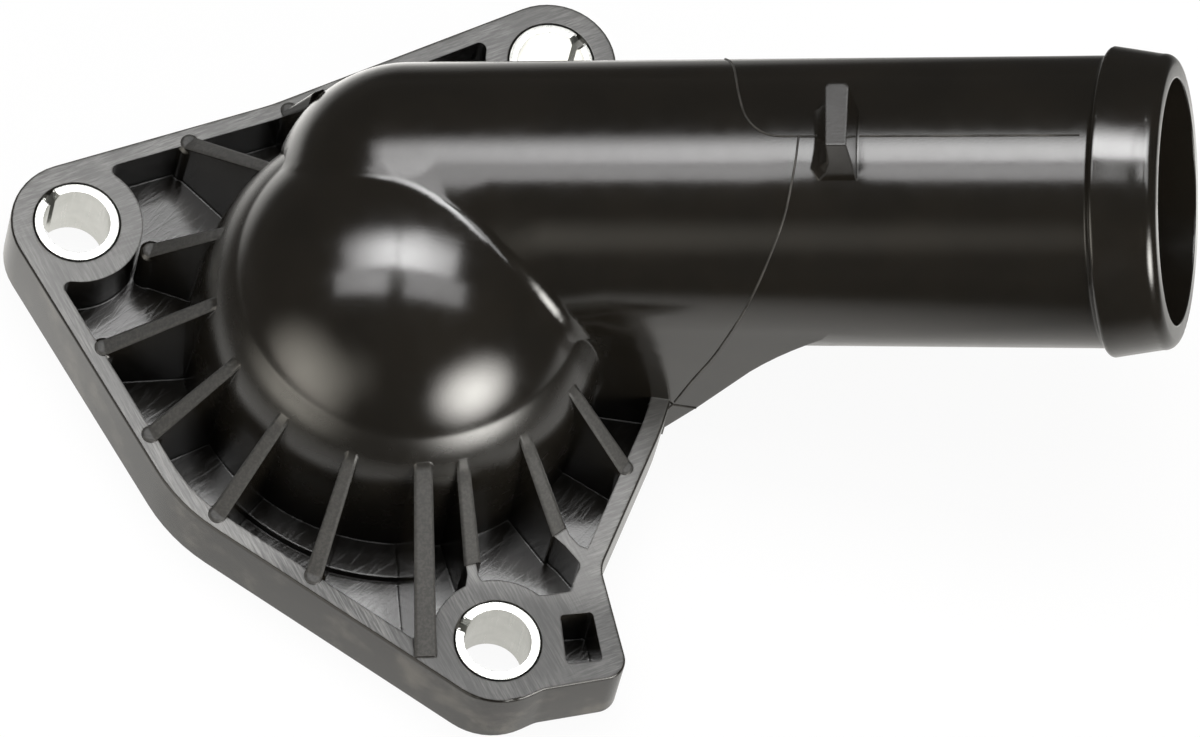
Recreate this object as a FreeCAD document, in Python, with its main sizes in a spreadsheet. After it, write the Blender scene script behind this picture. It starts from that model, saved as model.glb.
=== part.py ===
# Coolant water outlet: one moulded housing, three rolled bolt sleeves and a rubber mounting seal.
# Millimetres. The origin is the centre of the inlet opening on the mounting face, +Z points away
# from the engine and +X is the plan heading of the hose neck.
import FreeCAD, Part
import math
import os
import Sketcher
from FreeCAD import Vector

os.makedirs("parts", exist_ok=True)
doc = FreeCAD.newDocument("water_outlet")

# Each size that stands by itself is a number. One that follows others is the sum that gives it.
SIZES = [
    # bolt sleeves
    ("sleeve_bore", 4.4), ("sleeve_wall", 1.1), ("sleeve_radius", "=sleeve_bore + sleeve_wall"),
    ("slit_width", 0.9), ("sleeve_lead", 0.28), ("lead_depth", 0.8), ("notch_depth", 1.1),
    ("notch_flare", 0.55),
    # flange
    ("flange_height", 10.5), ("floor_thickness", 2.5), ("rim_width", 2.35),
    ("side_rim_width", 2.6), ("boss_wall", 3.16), ("boss_radius", "=sleeve_radius + boss_wall"),
    ("pocket_corner", 0.9), ("rim_round", 0.4),
    # flange outline: the round side, the lobe, the corner beside the neck and the long hollow side
    ("bulge_x", -9.7), ("bulge_y", -10.5), ("bulge_radius", 24.0),
    ("hollow_x", -33.8), ("hollow_y", 56.9), ("hollow_radius", 30.0),
    ("lobe_notch_radius", 4.0), ("lobe_tip_radius", 2.9),
    ("lobe_notch_gap", 0.1), ("lobe_notch_angle", -48.8), ("neck_corner_radius", 3.5),
    ("neck_notch_radius", 3.0), ("neck_notch_gap", 0.24), ("neck_margin", 0.3),
    # bolt positions
    ("left_bolt_x", -43.0), ("left_bolt_y", 9.5), ("upper_bolt_x", 16.5), ("upper_bolt_y", 42.1),
    ("lower_bolt_x", 17.1), ("lower_bolt_y", -42.2),
    # dome over the thermostat chamber
    ("wall_radius", 26.75), ("wall_straight", 13.5), ("wall_curve", 32.0), ("wall_draft", 0.7),
    ("shoulder_radius", 3.6), ("shoulder_lean", 18.0), ("ball_inset", 0.45),
    ("ball_radius", "=wall_radius - ball_inset"), ("ball_height", 12.5), ("wall_thickness", 2.9),
    ("inlet_wall", 2.75), ("inlet_radius", "=wall_radius - inlet_wall"),
    ("chamber_shoulder", 4.0), ("chamber_bevel", 1.4),
    # step in the floor of the flange
    ("step_height", 3.7), ("step_width", 5.45), ("step_radius", "=wall_radius + step_width"),
    ("step_taper", 1.7),
    # hose neck
    ("neck_offset", 14.0), ("neck_height", 20.5), ("neck_slope", 17.0),
    ("neck_root_radius", 18.2), ("neck_widening", 0.68),
    ("neck_end_radius", "=neck_root_radius + neck_widening"), ("neck_length", 100.0),
    ("heel_shift", 0.7), ("bead_length", 9.0), ("bead_rise", 1.17),
    ("bead_radius", "=neck_end_radius + bead_rise"), ("outlet_wall", 2.88),
    ("outlet_radius", "=neck_end_radius - outlet_wall"), ("outlet_straight", 12.0),
    ("blend_radius", 2.4),
    # hose stop on the neck
    ("stop_start", 58.3), ("stop_thickness", 2.4), ("stop_rise", 6.8),
    ("stop_height", "=neck_root_radius + stop_rise"), ("stop_width", 8.8),
    ("stop_front_skew", 0.35), ("stop_back_skew", 0.7), ("stop_far_trim", 0.2),
    # skirt under the neck
    ("skirt_wall", 2.6), ("skirt_end", 36.7), ("skirt_overhang", 17.6), ("recess_depth", 2.4),
    ("skirt_web", 2.4),
    # ribs
    ("rib_half", 1.32), ("rib_draft", 0.0175), ("rib_inner_height", 23.4), ("rib_sink", 1.65),
    ("rib_reach", "=wall_radius - rib_sink"),
    ("rib_bevel", 0.35), ("rib_root", 0.9), ("rib_lift", 0.35), ("post_bevel", 0.45),
    # seal
    ("seal_land", 4.2), ("seal_inner", "=inlet_radius + seal_land"), ("seal_width", 3.0),
    ("seal_outer", "=seal_inner + seal_width"), ("seal_depth", 1.5), ("seal_bevel", 0.45),
]

# How far a cutting form passes the face that it opens.
OVERCUT = 2.0

# Each rib is the angle in degrees, how far its outer end stays inside the outline of the flange,
# the share of the usual thickness, how far out beyond the shoulder it reaches its full height, how
# much lower it ends, and the share of the usual thickness of the round post at its outer end, or 0
# where it has none. Three ribs end early, at a boss or at the lobe.
RIBS = [
    (119.7, 0.35, 1.0, 5.0, 0.0, 1.1), (141.9, 0.9, 1.0, 0.0, 1.0, 1.2),
    (168.2, 17.5, 1.0, 0.0, 0.6, 1.15), (192.0, 1.4, 1.0, 0.0, 0.4, 1.2),
    (212.7, 0.35, 1.0, 0.0, 0.0, 1.2), (235.1, 0.35, 1.0, 0.0, 0.0, 1.2),
    (258.4, 0.55, 1.0, 0.0, 0.0, 1.2), (279.9, 1.4, 1.25, 0.0, 0.0, 0.0),
    (291.9, 19.8, 1.0, 0.0, 0.0, 0.0), (312.6, 10.55, 1.0, 0.0, 0.0, 0.0),
    (334.2, 1.1, 1.0, 0.0, 0.0, 1.0), (97.5, 0.5, 1.0, 7.4, 0.0, 1.1),
]

# The solid lobe beside the lower bolt, its pocket and the flare on its other side, as distances
# from that bolt's centre. A row of four is an arc's end and its middle.
LOBE = [
    (0.0, 0.0), (1.9, -7.6), (7.6, -5.2), (14.2, -2.9), (15.6, 0.3), (13.4, 8.0), (11.5, 12.6),
    (11.3, 15.6), (10.2, 14.85, 10.8, 15.0), (9.3, 15.1), (7.9, 16.4), (6.9, 18.3), (5.5, 16.2),
    (7.4, 14.8), (9.3, 12.9), (9.6, 11.8, 9.6, 12.4), (8.9, 9.5), (8.2, 8.25, 8.8, 8.6),
    (6.1, 7.55), (4.8, 7.25),
]
LOBE_POCKET = [
    (7.9, 4.0), (8.0, 4.9, 7.8, 4.5), (11.2, 5.7), (12.0, 5.3, 11.7, 5.7), (13.6, -0.2),
    (13.1, -0.9, 13.5, -0.7), (9.8, -1.8), (9.0, -1.3, 9.3, -1.7),
]
FLARE = [
    (-5.3, 11.0), (-4.8, 8.8), (-4.9, 6.6), (-1.7, 7.2), (-2.6, 8.1), (-3.5, 9.4, -3.2, 8.7),
    (-4.0, 11.2),
]

sheet = doc.addObject("Spreadsheet::Sheet", "sizes")
for row, (word, value) in enumerate(SIZES, start=1):
    sheet.set("A%d" % row, word)
    sheet.set("B%d" % row, str(value))
    sheet.setAlias("B%d" % row, word)
doc.recompute()


def size(word):
    """The value of one size of the sheet."""
    return float(getattr(sheet, word))


def origin_plane(body, role):
    """The base plane of a body's own origin, by its role."""
    for feature in body.Origin.OriginFeatures:
        if feature.Role == role:
            return feature
    raise RuntimeError("no plane " + role)


def new_body(name):
    """An empty body."""
    return doc.addObject("PartDesign::Body", name)


def new_sketch(body, name, role="XY_Plane", lift=None):
    """A sketch on one of the body's base planes, raised by the size named lift."""
    sketch = body.newObject("Sketcher::SketchObject", name)
    sketch.AttachmentSupport = (origin_plane(body, role), [""])
    sketch.MapMode = "FlatFace"
    if lift:
        sketch.setExpression("AttachmentOffset.Base.z", "sizes." + lift)
    return sketch


def pad(body, sketch, name, length):
    """A pad whose length is bound to a size or an expression of the sheet."""
    feature = body.newObject("PartDesign::Pad", name)
    feature.Profile = sketch
    feature.setExpression("Length", length)
    sketch.Visibility = False
    return feature


def pocket(body, sketch, name, length, both=False):
    """A pocket cut from the sketch plane downwards, or to both sides."""
    feature = body.newObject("PartDesign::Pocket", name)
    feature.Profile = sketch
    feature.setExpression("Length", length)
    feature.Midplane = both
    sketch.Visibility = False
    return feature


def revolve(body, sketch, name, axis):
    """A full turn of a profile about one of the sketch's own axes."""
    feature = body.newObject("PartDesign::Revolution", name)
    feature.Profile = sketch
    feature.ReferenceAxis = (sketch, [axis])
    feature.Angle = 360.0
    sketch.Visibility = False
    return feature


def path(sketch, points):
    """A closed outline of rows (x, y), or (x, y, mid_x, mid_y) for an arc and its middle."""
    last = points[-1]
    start = Vector(last[0], last[1], 0)
    for entry in points:
        end = Vector(entry[0], entry[1], 0)
        if len(entry) == 4:
            arc = Part.Arc(start, Vector(entry[2], entry[3], 0), end)
            sketch.addGeometry(arc, False)
        else:
            sketch.addGeometry(Part.LineSegment(start, end), False)
        start = end


def beside(point, rows):
    """An outline given as distances from a point, turned into places."""
    return [tuple(value + point[number % 2] for number, value in enumerate(row)) for row in rows]


def arc_middle(centre, radius, first, second):
    """The point half way along an arc given by its centre, radius and end angles in degrees."""
    angle = math.radians((first + second) / 2.0)
    return centre[0] + radius * math.cos(angle), centre[1] + radius * math.sin(angle)


def belt(sketch, circles):
    """An outline run round circles (x, y, radius, turn) like a belt, turn -1 at inner corners."""
    count = len(circles)
    normals = []
    for index in range(count):
        ax, ay, ar, aturn = circles[index]
        bx, by, br, bturn = circles[(index + 1) % count]
        run = math.hypot(bx - ax, by - ay)
        heading = math.atan2(by - ay, bx - ax)
        normals.append(heading - math.acos((aturn * ar - bturn * br) / run))
    for index in range(count):
        x, y, radius, turn = circles[index]
        before = normals[index - 1]
        after = normals[index]
        here = Vector(x, y, 0)
        if turn > 0:
            first, second = before, after
        else:
            first, second = after + math.pi, before + math.pi
        while second <= first:
            second += 2 * math.pi
        while second - first > 2 * math.pi:
            second -= 2 * math.pi
        circle = Part.Circle(here, Vector(0, 0, 1), radius)
        sketch.addGeometry(Part.ArcOfCircle(circle, first, second), False)
        bx, by, br, bturn = circles[(index + 1) % count]
        outward = Vector(math.cos(after), math.sin(after), 0)
        leave = here + outward * (turn * radius)
        meet = Vector(bx, by, 0) + outward * (bturn * br)
        sketch.addGeometry(Part.LineSegment(leave, meet), False)


def disc(sketch, x_word, y_word, radius_word):
    """A circle placed and sized by the sheet."""
    centre = Vector(size(x_word), size(y_word), 0)
    circle = Part.Circle(centre, Vector(0, 0, 1), size(radius_word))
    index = sketch.addGeometry(circle, False)
    for kind, word in (("DistanceX", x_word), ("DistanceY", y_word)):
        value = size(word)
        if value < 0:
            number = sketch.addConstraint(Sketcher.Constraint(kind, index, 3, -1, 1, -value))
            sketch.setExpression("Constraints[%d]" % number, "-sizes." + word)
        else:
            number = sketch.addConstraint(Sketcher.Constraint(kind, -1, 1, index, 3, value))
            sketch.setExpression("Constraints[%d]" % number, "sizes." + word)
    number = sketch.addConstraint(Sketcher.Constraint("Radius", index, size(radius_word)))
    sketch.setExpression("Constraints[%d]" % number, "sizes." + radius_word)


def ring_at_origin(sketch, radius_word):
    """A circle about the sketch origin, sized by the sheet."""
    circle = Part.Circle(Vector(0, 0, 0), Vector(0, 0, 1), size(radius_word))
    index = sketch.addGeometry(circle, False)
    sketch.addConstraint(Sketcher.Constraint("Coincident", index, 3, -1, 1))
    number = sketch.addConstraint(Sketcher.Constraint("Radius", index, size(radius_word)))
    sketch.setExpression("Constraints[%d]" % number, "sizes." + radius_word)


# The bolt centres and the circles that the flange outline runs round, counter-clockwise from the
# left: x, y, radius, +1 at an outer corner or -1 at an inner one, and the width of the rim there.
LEFT = (size("left_bolt_x"), size("left_bolt_y"))
UPPER = (size("upper_bolt_x"), size("upper_bolt_y"))
LOWER = (size("lower_bolt_x"), size("lower_bolt_y"))
BOSS = size("boss_radius")
RIM = size("rim_width")
SIDE_RIM = size("side_rim_width")
SKIRT_SIDE = size("neck_offset") + size("neck_root_radius") + size("neck_margin")
CORNER = size("neck_corner_radius")
NECK_NOTCH = size("neck_notch_radius")
LOBE_NOTCH = size("lobe_notch_radius")


def polar(radius, degrees):
    """The plan position at a radius and angle from the dome's centre."""
    return radius * math.cos(math.radians(degrees)), radius * math.sin(math.radians(degrees))


notch_x, notch_y = polar(BOSS + LOBE_NOTCH + size("lobe_notch_gap"), size("lobe_notch_angle"))
neck_notch_rise = UPPER[1] - SKIRT_SIDE - NECK_NOTCH
neck_notch_reach = BOSS + NECK_NOTCH + size("neck_notch_gap")
neck_notch_x = UPPER[0] + math.sqrt(neck_notch_reach ** 2 - neck_notch_rise ** 2)
OUTER_CIRCLES = [
    (LEFT[0], LEFT[1], BOSS, 1, RIM),
    (size("bulge_x"), size("bulge_y"), size("bulge_radius"), 1, RIM),
    (LOWER[0], LOWER[1], BOSS, 1, RIM),
    (LOWER[0] + notch_x, LOWER[1] + notch_y, LOBE_NOTCH, -1, RIM),
    (LOWER[0] + 13.8, LOWER[1] - 0.5, size("lobe_tip_radius"), 1, RIM),
    (LOWER[0] + 16.6, LOWER[1] + 12.5, LOBE_NOTCH, -1, SIDE_RIM),
    (0.0, 0.0, size("skirt_end"), 1, SIDE_RIM),
    (size("skirt_end") - CORNER, SKIRT_SIDE - CORNER, CORNER, 1, SIDE_RIM),
    (neck_notch_x, SKIRT_SIDE + NECK_NOTCH, NECK_NOTCH, -1, RIM),
    (UPPER[0], UPPER[1], BOSS, 1, RIM),
    (size("hollow_x"), size("hollow_y"), size("hollow_radius"), -1, RIM),
]

# Flange: floor plate, raised rim, bolt bosses, the solid lobe with its pocket, and a floor step.
flange = new_body("flange")
outline = new_sketch(flange, "flange_outline")
belt(outline, [(x, y, radius, turn) for x, y, radius, turn, width in OUTER_CIRCLES])
pad(flange, outline, "flange_block", "sizes.flange_height")
well = new_sketch(flange, "well_outline", lift="flange_height")
belt(well, [(x, y, radius - turn * width, turn) for x, y, radius, turn, width in OUTER_CIRCLES])
pocket(flange, well, "well", "sizes.flange_height - sizes.floor_thickness")
discs = new_sketch(flange, "boss_discs")
disc(discs, "left_bolt_x", "left_bolt_y", "boss_radius")
disc(discs, "upper_bolt_x", "upper_bolt_y", "boss_radius")
disc(discs, "lower_bolt_x", "lower_bolt_y", "boss_radius")
pad(flange, discs, "bosses", "sizes.flange_height")

lobe = new_sketch(flange, "lobe_outline")
path(lobe, beside(LOWER, LOBE))
pad(flange, lobe, "lobe", "sizes.flange_height")
flare = new_sketch(flange, "flare_outline")
path(flare, beside(LOWER, FLARE))
pad(flange, flare, "flare", "sizes.flange_height")
step = new_sketch(flange, "step_outline")
STEP = size("step_radius")
TAPER = size("step_taper")
HIDDEN = size("wall_radius")
step_first, step_second, step_third = (row[0] for row in RIBS[5:8])
path(step, [
    polar(HIDDEN, step_first), polar(STEP - TAPER, step_first),
    polar(STEP - 0.7 * TAPER, step_second) + polar(STEP - 0.9 * TAPER, (step_first + step_second) / 2),
    polar(STEP, step_second), polar(STEP, step_third) + polar(STEP, (step_second + step_third) / 2),
    polar(HIDDEN, step_third),
])
pad(flange, step, "floor_step", "sizes.step_height")
hole = new_sketch(flange, "lobe_pocket_outline", lift="flange_height")
path(hole, beside(LOWER, LOBE_POCKET))
pocket(flange, hole, "lobe_pocket", "sizes.flange_height - sizes.floor_thickness")

# The corners between the bosses and the rim are rounded, and so is the outer edge of the rim.
doc.recompute()
TOP = size("flange_height")


def upright(edge):
    """True where an edge is straight and stands upright between the floor and the rim's top."""
    low, high = sorted((edge.Vertexes[0].Point, edge.Vertexes[-1].Point), key=lambda point: point.z)
    slip = math.hypot(high.x - low.x, high.y - low.y)
    from_floor = abs(low.z - size("floor_thickness")) < 0.01
    return slip < 0.001 and from_floor and abs(high.z - TOP) < 0.01


def at_boss(point):
    """True where a plan position lies on the edge of a boss."""
    return any(abs(math.hypot(point.x - x, point.y - y) - BOSS) < 0.02
               for x, y in (LEFT, UPPER, LOWER))


def sharp_corners(shape):
    """The upright edges in which a boss meets the inner side of the rim."""
    found = []
    for edge in shape.Edges:
        if not upright(edge) or not at_boss(edge.Vertexes[0].Point):
            continue
        middle = edge.valueAt((edge.FirstParameter + edge.LastParameter) / 2.0)
        facing = []
        for face in shape.ancestorsOfType(edge, Part.Face):
            u, v = face.Surface.parameter(middle)
            facing.append(face.normalAt(u, v))
        if len(facing) == 2 and facing[0].getAngle(facing[1]) > math.radians(100.0):
            found.append(edge)
    return found


def outer_top_edges(shape):
    """The edges of the rim's top along its outline."""
    top = [face for face in shape.Faces
           if abs(face.BoundBox.ZMin - TOP) < 0.001 and abs(face.BoundBox.ZMax - TOP) < 0.001]
    largest = max(top, key=lambda face: face.BoundBox.DiagonalLength)
    return largest.OuterWire.Edges


rounded_flange = doc.addObject("Part::Feature", "rounded_flange")
corners = sharp_corners(flange.Shape)
softened = flange.Shape.makeFillet(size("pocket_corner"), corners)
rounded_flange.Shape = softened.makeFillet(size("rim_round"), outer_top_edges(softened))

# Dome: a plain cylinder, a rounded shoulder and a ball standing a little inside the shoulder.
dome = new_body("dome")
dome_profile = new_sketch(dome, "dome_profile", "XZ_Plane")
WALL = size("wall_radius")
FOOT = size("wall_straight")
CURVE = size("wall_curve")
ROUND = size("shoulder_radius")
LEAN = math.radians(size("shoulder_lean"))
BALL = size("ball_radius")
BALL_Z = size("ball_height")
BEND = (WALL - CURVE, FOOT)
LIP = (BEND[0] + CURVE * math.cos(LEAN), BEND[1] + CURVE * math.sin(LEAN))
TURN = (LIP[0] - ROUND * math.cos(LEAN), LIP[1] - ROUND * math.sin(LEAN))
gap = math.hypot(TURN[0], TURN[1] - BALL_Z)
along = (gap * gap + BALL * BALL - ROUND * ROUND) / (2.0 * gap)
rise = math.sqrt(BALL * BALL - along * along)
ux, uz = TURN[0] / gap, (TURN[1] - BALL_Z) / gap
CREASE = (ux * along - uz * rise, BALL_Z + uz * along + ux * rise)
crease_angle = math.degrees(math.atan2(CREASE[1] - TURN[1], CREASE[0] - TURN[0]))
curve_mid = arc_middle(BEND, CURVE, 0.0, size("shoulder_lean"))
shoulder_mid = arc_middle(TURN, ROUND, size("shoulder_lean"), crease_angle)
third = math.degrees(math.atan2(CREASE[1] - BALL_Z, CREASE[0]))
ball_mid = arc_middle((0.0, BALL_Z), BALL, third, 90.0)
path(dome_profile, [
    (0.0, 0.0), (WALL + size("wall_draft"), 0.0), (WALL, FOOT),
    (LIP[0], LIP[1], curve_mid[0], curve_mid[1]),
    (CREASE[0], CREASE[1], shoulder_mid[0], shoulder_mid[1]),
    (0.0, BALL_Z + BALL, ball_mid[0], ball_mid[1]),
])
revolve(dome, dome_profile, "dome_form", "V_Axis")

# Hose neck: a round-ended tube that leaves the dome on its +Y side and climbs towards +X.
neck = new_body("neck")
neck.Placement = FreeCAD.Placement(
    Vector(0, size("neck_offset"), size("neck_height")),
    FreeCAD.Rotation(Vector(0, 1, 0), -size("neck_slope")))
neck_profile = new_sketch(neck, "neck_profile", "XZ_Plane")
ROOT = size("neck_root_radius")
TIP = size("neck_end_radius")
BEAD = size("bead_radius")
LENGTH = size("neck_length")
START = LENGTH - size("bead_length")
half_root = math.sqrt(0.5) * ROOT
HEEL = -size("heel_shift")
path(neck_profile, [
    (HEEL - ROOT, 0.0), (HEEL, ROOT, HEEL - half_root, half_root), (START, TIP),
    (START + 0.45, BEAD - 0.65), (START + 1.2, BEAD, START + 0.65, BEAD - 0.15),
    (LENGTH - 1.75, BEAD - 0.95), (LENGTH, BEAD - 2.35, LENGTH - 0.45, BEAD - 1.4), (LENGTH, 0.0),
])
revolve(neck, neck_profile, "neck_form", "H_Axis")

# Hose stop: a drafted tab on top of the neck.
stop = new_body("stop")
stop.Placement = neck.Placement
A0 = size("stop_start")
AT = size("stop_thickness")
SW = size("stop_width")


def stop_section(name, lower, left, right, near, cut, near_cut):
    """One level of the tab, lower below its top: an oblong with three of its corners cut off."""
    sketch = new_sketch(stop, name)
    back = A0 + left
    front = A0 + AT + right
    far_back = back - size("stop_back_skew")
    far_front = front - size("stop_front_skew")
    far = SW / 2 - size("stop_far_trim")
    close = near - SW / 2
    path(sketch, [
        (back + near_cut, close), (front, close), (far_front, far - cut), (far_front - cut, far),
        (far_back + cut, far), (far_back, far - cut), (back, close + near_cut),
    ])
    sketch.setExpression("AttachmentOffset.Base.z", "sizes.stop_height - %g" % lower)
    return sketch


stop_top = stop_section("stop_top", 0.0, 0.0, 0.35, -0.4, 0.5, 0.15)
stop_waist = stop_section("stop_waist", 4.0, -0.4, 0.5, -0.9, 0.5, 0.3)
stop_foot = stop_section("stop_foot", 6.0, -1.8, 0.6, -1.4, 0.6, 1.0)
stop_base = stop_section("stop_base", 11.0, -8.0, 1.1, -2.4, 0.9, 3.4)
tab = stop.newObject("PartDesign::AdditiveLoft", "stop_form")
tab.Profile = stop_top
tab.Sections = [stop_waist, stop_foot, stop_base]
tab.Ruled = True

# Skirt: upright walls below the widest line of the neck, ending in a raked edge.
skirt = new_body("skirt")
plan = new_sketch(skirt, "skirt_plan")
OFFSET = size("neck_offset")
END = size("skirt_end")
REACH = END + size("skirt_overhang")
FAR = REACH + OVERCUT
SPREAD = (TIP - ROOT) * FAR / START
SLOPE = math.tan(math.radians(size("neck_slope")))
HEEL_X = HEEL * math.cos(math.radians(size("neck_slope")))
path(plan, [
    (FAR, OFFSET + ROOT + SPREAD), (HEEL_X, OFFSET + ROOT),
    (HEEL_X, OFFSET - ROOT, HEEL_X - ROOT, OFFSET), (FAR, OFFSET - ROOT - SPREAD),
])
pad(skirt, plan, "skirt_block", "sizes.neck_height + sizes.skirt_end")
rake = new_sketch(skirt, "skirt_rake", "XZ_Plane")
NZ = size("neck_height")
FLOOR = size("floor_thickness")
ABOVE = NZ + SLOPE * FAR + END
path(rake, [
    (HEEL_X - ROOT - OVERCUT, NZ + SLOPE * HEEL_X), (HEEL_X, NZ + SLOPE * HEEL_X),
    (REACH, NZ + SLOPE * REACH), (REACH - 1.2, NZ + 13.4),
    (END + 8.6, NZ + 1.25, END + 12.2, NZ + 7.7), (END + 3.3, NZ - 11.3), (END + 0.1, FLOOR - 0.1),
    (END, FLOOR - 0.3), (END, -OVERCUT), (FAR + OVERCUT, -OVERCUT), (FAR + OVERCUT, ABOVE),
    (HEEL_X - ROOT - OVERCUT, ABOVE),
])
pocket(skirt, rake, "raked_end", "6 * sizes.neck_root_radius", both=True)
recess = new_sketch(skirt, "recess_plan", lift="floor_thickness")
BACK = END - size("recess_depth")
WEB = size("skirt_web") / 2
SIDE = ROOT - size("skirt_wall")
for low, high in ((-SIDE, -WEB), (WEB, SIDE)):
    path(recess, [(BACK, OFFSET + low), (FAR + OVERCUT, OFFSET + low),
                  (FAR + OVERCUT, OFFSET + high), (BACK, OFFSET + high)])
hollow = skirt.newObject("PartDesign::Pocket", "recess")
hollow.Profile = recess
hollow.setExpression("Length", "sizes.neck_height + sizes.skirt_end")
hollow.Reversed = True
recess.Visibility = False
doc.recompute()

# The dome, neck and skirt blended into each other along the line where they meet.
raw_shell = doc.addObject("Part::MultiFuse", "raw_shell")
raw_shell.Shapes = [dome, neck, skirt]
raw_shell.Refine = True
doc.recompute()


def on_ball(point):
    """True where a point lies on the ball of the dome."""
    return abs(Vector(point.x, point.y, point.z - BALL_Z).Length - BALL) < 0.02


def on_neck(point):
    """True where a point lies on the round end or the tapered tube of the neck."""
    inner = neck.Placement.inverse().multVec(point)
    reach = math.hypot(inner.y, inner.z)
    if inner.x < HEEL:
        return abs(Vector(inner.x - HEEL, inner.y, inner.z).Length - ROOT) < 0.02
    return abs(reach - (ROOT + (TIP - ROOT) * (inner.x - HEEL) / (START - HEEL))) < 0.03


def seam_edges(shape):
    """The edges in which the ball and the neck meet."""
    found = []
    for edge in shape.Edges:
        run = edge.LastParameter - edge.FirstParameter
        spread = [edge.valueAt(edge.FirstParameter + part * run)
                  for part in (0.1, 0.3, 0.5, 0.7, 0.9)]
        if all(on_ball(point) and on_neck(point) for point in spread):
            found.append(edge)
    return found


shell = doc.addObject("Part::Feature", "blended_shell")
shell.Shape = raw_shell.Shape.makeFillet(size("blend_radius"), seam_edges(raw_shell.Shape))


# Ribs: upright webs standing radially between the dome and the rim, flat-topped with bevelled
# edges, and with a round post at most of the outer ends.
def rib_section(radius, height, angle, share):
    """One upright section of a rib: drafted sides and a flat top with bevelled edges."""
    half_low = size("rib_half") * share
    half_top = half_low - size("rib_draft") * height
    bevel = size("rib_bevel")
    across = Vector(-math.sin(angle), math.cos(angle), 0)
    middle = Vector(math.cos(angle), math.sin(angle), 0) * radius
    corners_of_section = [
        (-half_low, 0.0), (half_low, 0.0), (half_top, height - bevel), (half_top - bevel, height),
        (bevel - half_top, height), (-half_top, height - bevel), (-half_low, 0.0),
    ]
    return Part.makePolygon([middle + across * side + Vector(0, 0, level)
                             for side, level in corners_of_section])


def outline_reach(angle_deg):
    """How far the outline of the flange lies from the dome's centre, at an angle in degrees."""
    beyond = polar(4 * size("neck_length"), angle_deg)
    ray = Part.makeLine(Vector(0, 0, 0), Vector(beyond[0], beyond[1], 0))
    meeting = outline.Shape.distToShape(ray)[1][0][0]
    return math.hypot(meeting.x, meeting.y)


def rib(angle_deg, short, share, out, down, post_share):
    """A rib from its outer end on the rim up to the shoulder of the dome or the heel."""
    angle = math.radians(angle_deg)
    reach = size("rib_reach") + out
    inner = reach - size("rib_root")
    rim = size("flange_height") + size("rib_lift")
    nose = size("rib_half") * share * post_share
    outer = outline_reach(angle_deg) - short - nose
    climb = (size("rib_inner_height") - down - rim) / (outer - reach)
    inner_top = rim + climb * (outer - inner)
    web = Part.makeLoft([rib_section(inner, inner_top, angle, share),
                         rib_section(outer, rim, angle, share)], True, True)
    if nose == 0.0:
        return web
    foot = Vector(math.cos(angle) * outer, math.sin(angle) * outer, 0)
    post = Part.makeCylinder(nose, rim, foot)
    crown = [edge for edge in post.Edges if edge.BoundBox.ZMin > rim - 0.01]
    return web.fuse(post.makeChamfer(size("post_bevel") * nose, crown))


rib_objects = []
for number, row in enumerate(RIBS):
    body = doc.addObject("Part::Feature", "rib_%02d" % number)
    body.Shape = rib(*row)
    rib_objects.append(body)

outer_form = doc.addObject("Part::MultiFuse", "outer_form")
outer_form.Shapes = [rounded_flange, shell, stop] + rib_objects
outer_form.Refine = True
doc.recompute()

# Cavities: the chamber under the dome, the bore of the neck, the bolt holes and the seal groove.
chamber = new_body("chamber")
chamber_profile = new_sketch(chamber, "chamber_profile", "XZ_Plane")
INLET = size("inlet_radius")
INNER_BALL = BALL - size("wall_thickness")
SHOULDER = size("chamber_shoulder")
join_z = BALL_Z + SHOULDER
join_x = math.sqrt(INNER_BALL ** 2 - SHOULDER ** 2)
join_angle = math.degrees(math.atan2(SHOULDER, join_x))
inner_mid = arc_middle((0.0, BALL_Z), INNER_BALL, join_angle, 90.0)
path(chamber_profile, [
    (0.0, -OVERCUT), (INLET, -OVERCUT), (INLET, join_z - size("chamber_bevel")), (join_x, join_z),
    (0.0, BALL_Z + INNER_BALL, inner_mid[0], inner_mid[1]),
])
revolve(chamber, chamber_profile, "chamber_form", "V_Axis")

bore = new_body("bore")
bore.Placement = neck.Placement
bore_profile = new_sketch(bore, "bore_profile", "XZ_Plane")
IN_ROOT = ROOT - size("wall_thickness")
OUT = size("outlet_radius")
STRAIGHT = size("outlet_straight")
half_in = math.sqrt(0.5) * IN_ROOT
path(bore_profile, [
    (-IN_ROOT, 0.0), (0.0, IN_ROOT, -half_in, half_in), (LENGTH - STRAIGHT, OUT),
    (LENGTH + OVERCUT, OUT), (LENGTH + OVERCUT, 0.0),
])
revolve(bore, bore_profile, "bore_form", "H_Axis")

holes = new_body("bolt_holes")
hole_plan = new_sketch(holes, "hole_plan")
hole_plan.AttachmentOffset = FreeCAD.Placement(Vector(0, 0, -OVERCUT), FreeCAD.Rotation())
disc(hole_plan, "left_bolt_x", "left_bolt_y", "sleeve_radius")
disc(hole_plan, "upper_bolt_x", "upper_bolt_y", "sleeve_radius")
disc(hole_plan, "lower_bolt_x", "lower_bolt_y", "sleeve_radius")
pad(holes, hole_plan, "hole_form", "sizes.flange_height + %g" % (2 * OVERCUT))


def lead_in(name, centre):
    """The shallow cone that opens a bolt hole at the top of its boss."""
    cone = doc.addObject("Part::Cone", name)
    cone.setExpression("Radius1", "sizes.sleeve_radius")
    cone.setExpression("Radius2", "sizes.sleeve_radius + 2 * sizes.sleeve_lead")
    cone.setExpression("Height", "2 * sizes.lead_depth")
    foot = Vector(centre[0], centre[1], size("flange_height") - size("lead_depth"))
    cone.Placement = FreeCAD.Placement(foot, FreeCAD.Rotation())
    return cone


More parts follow.
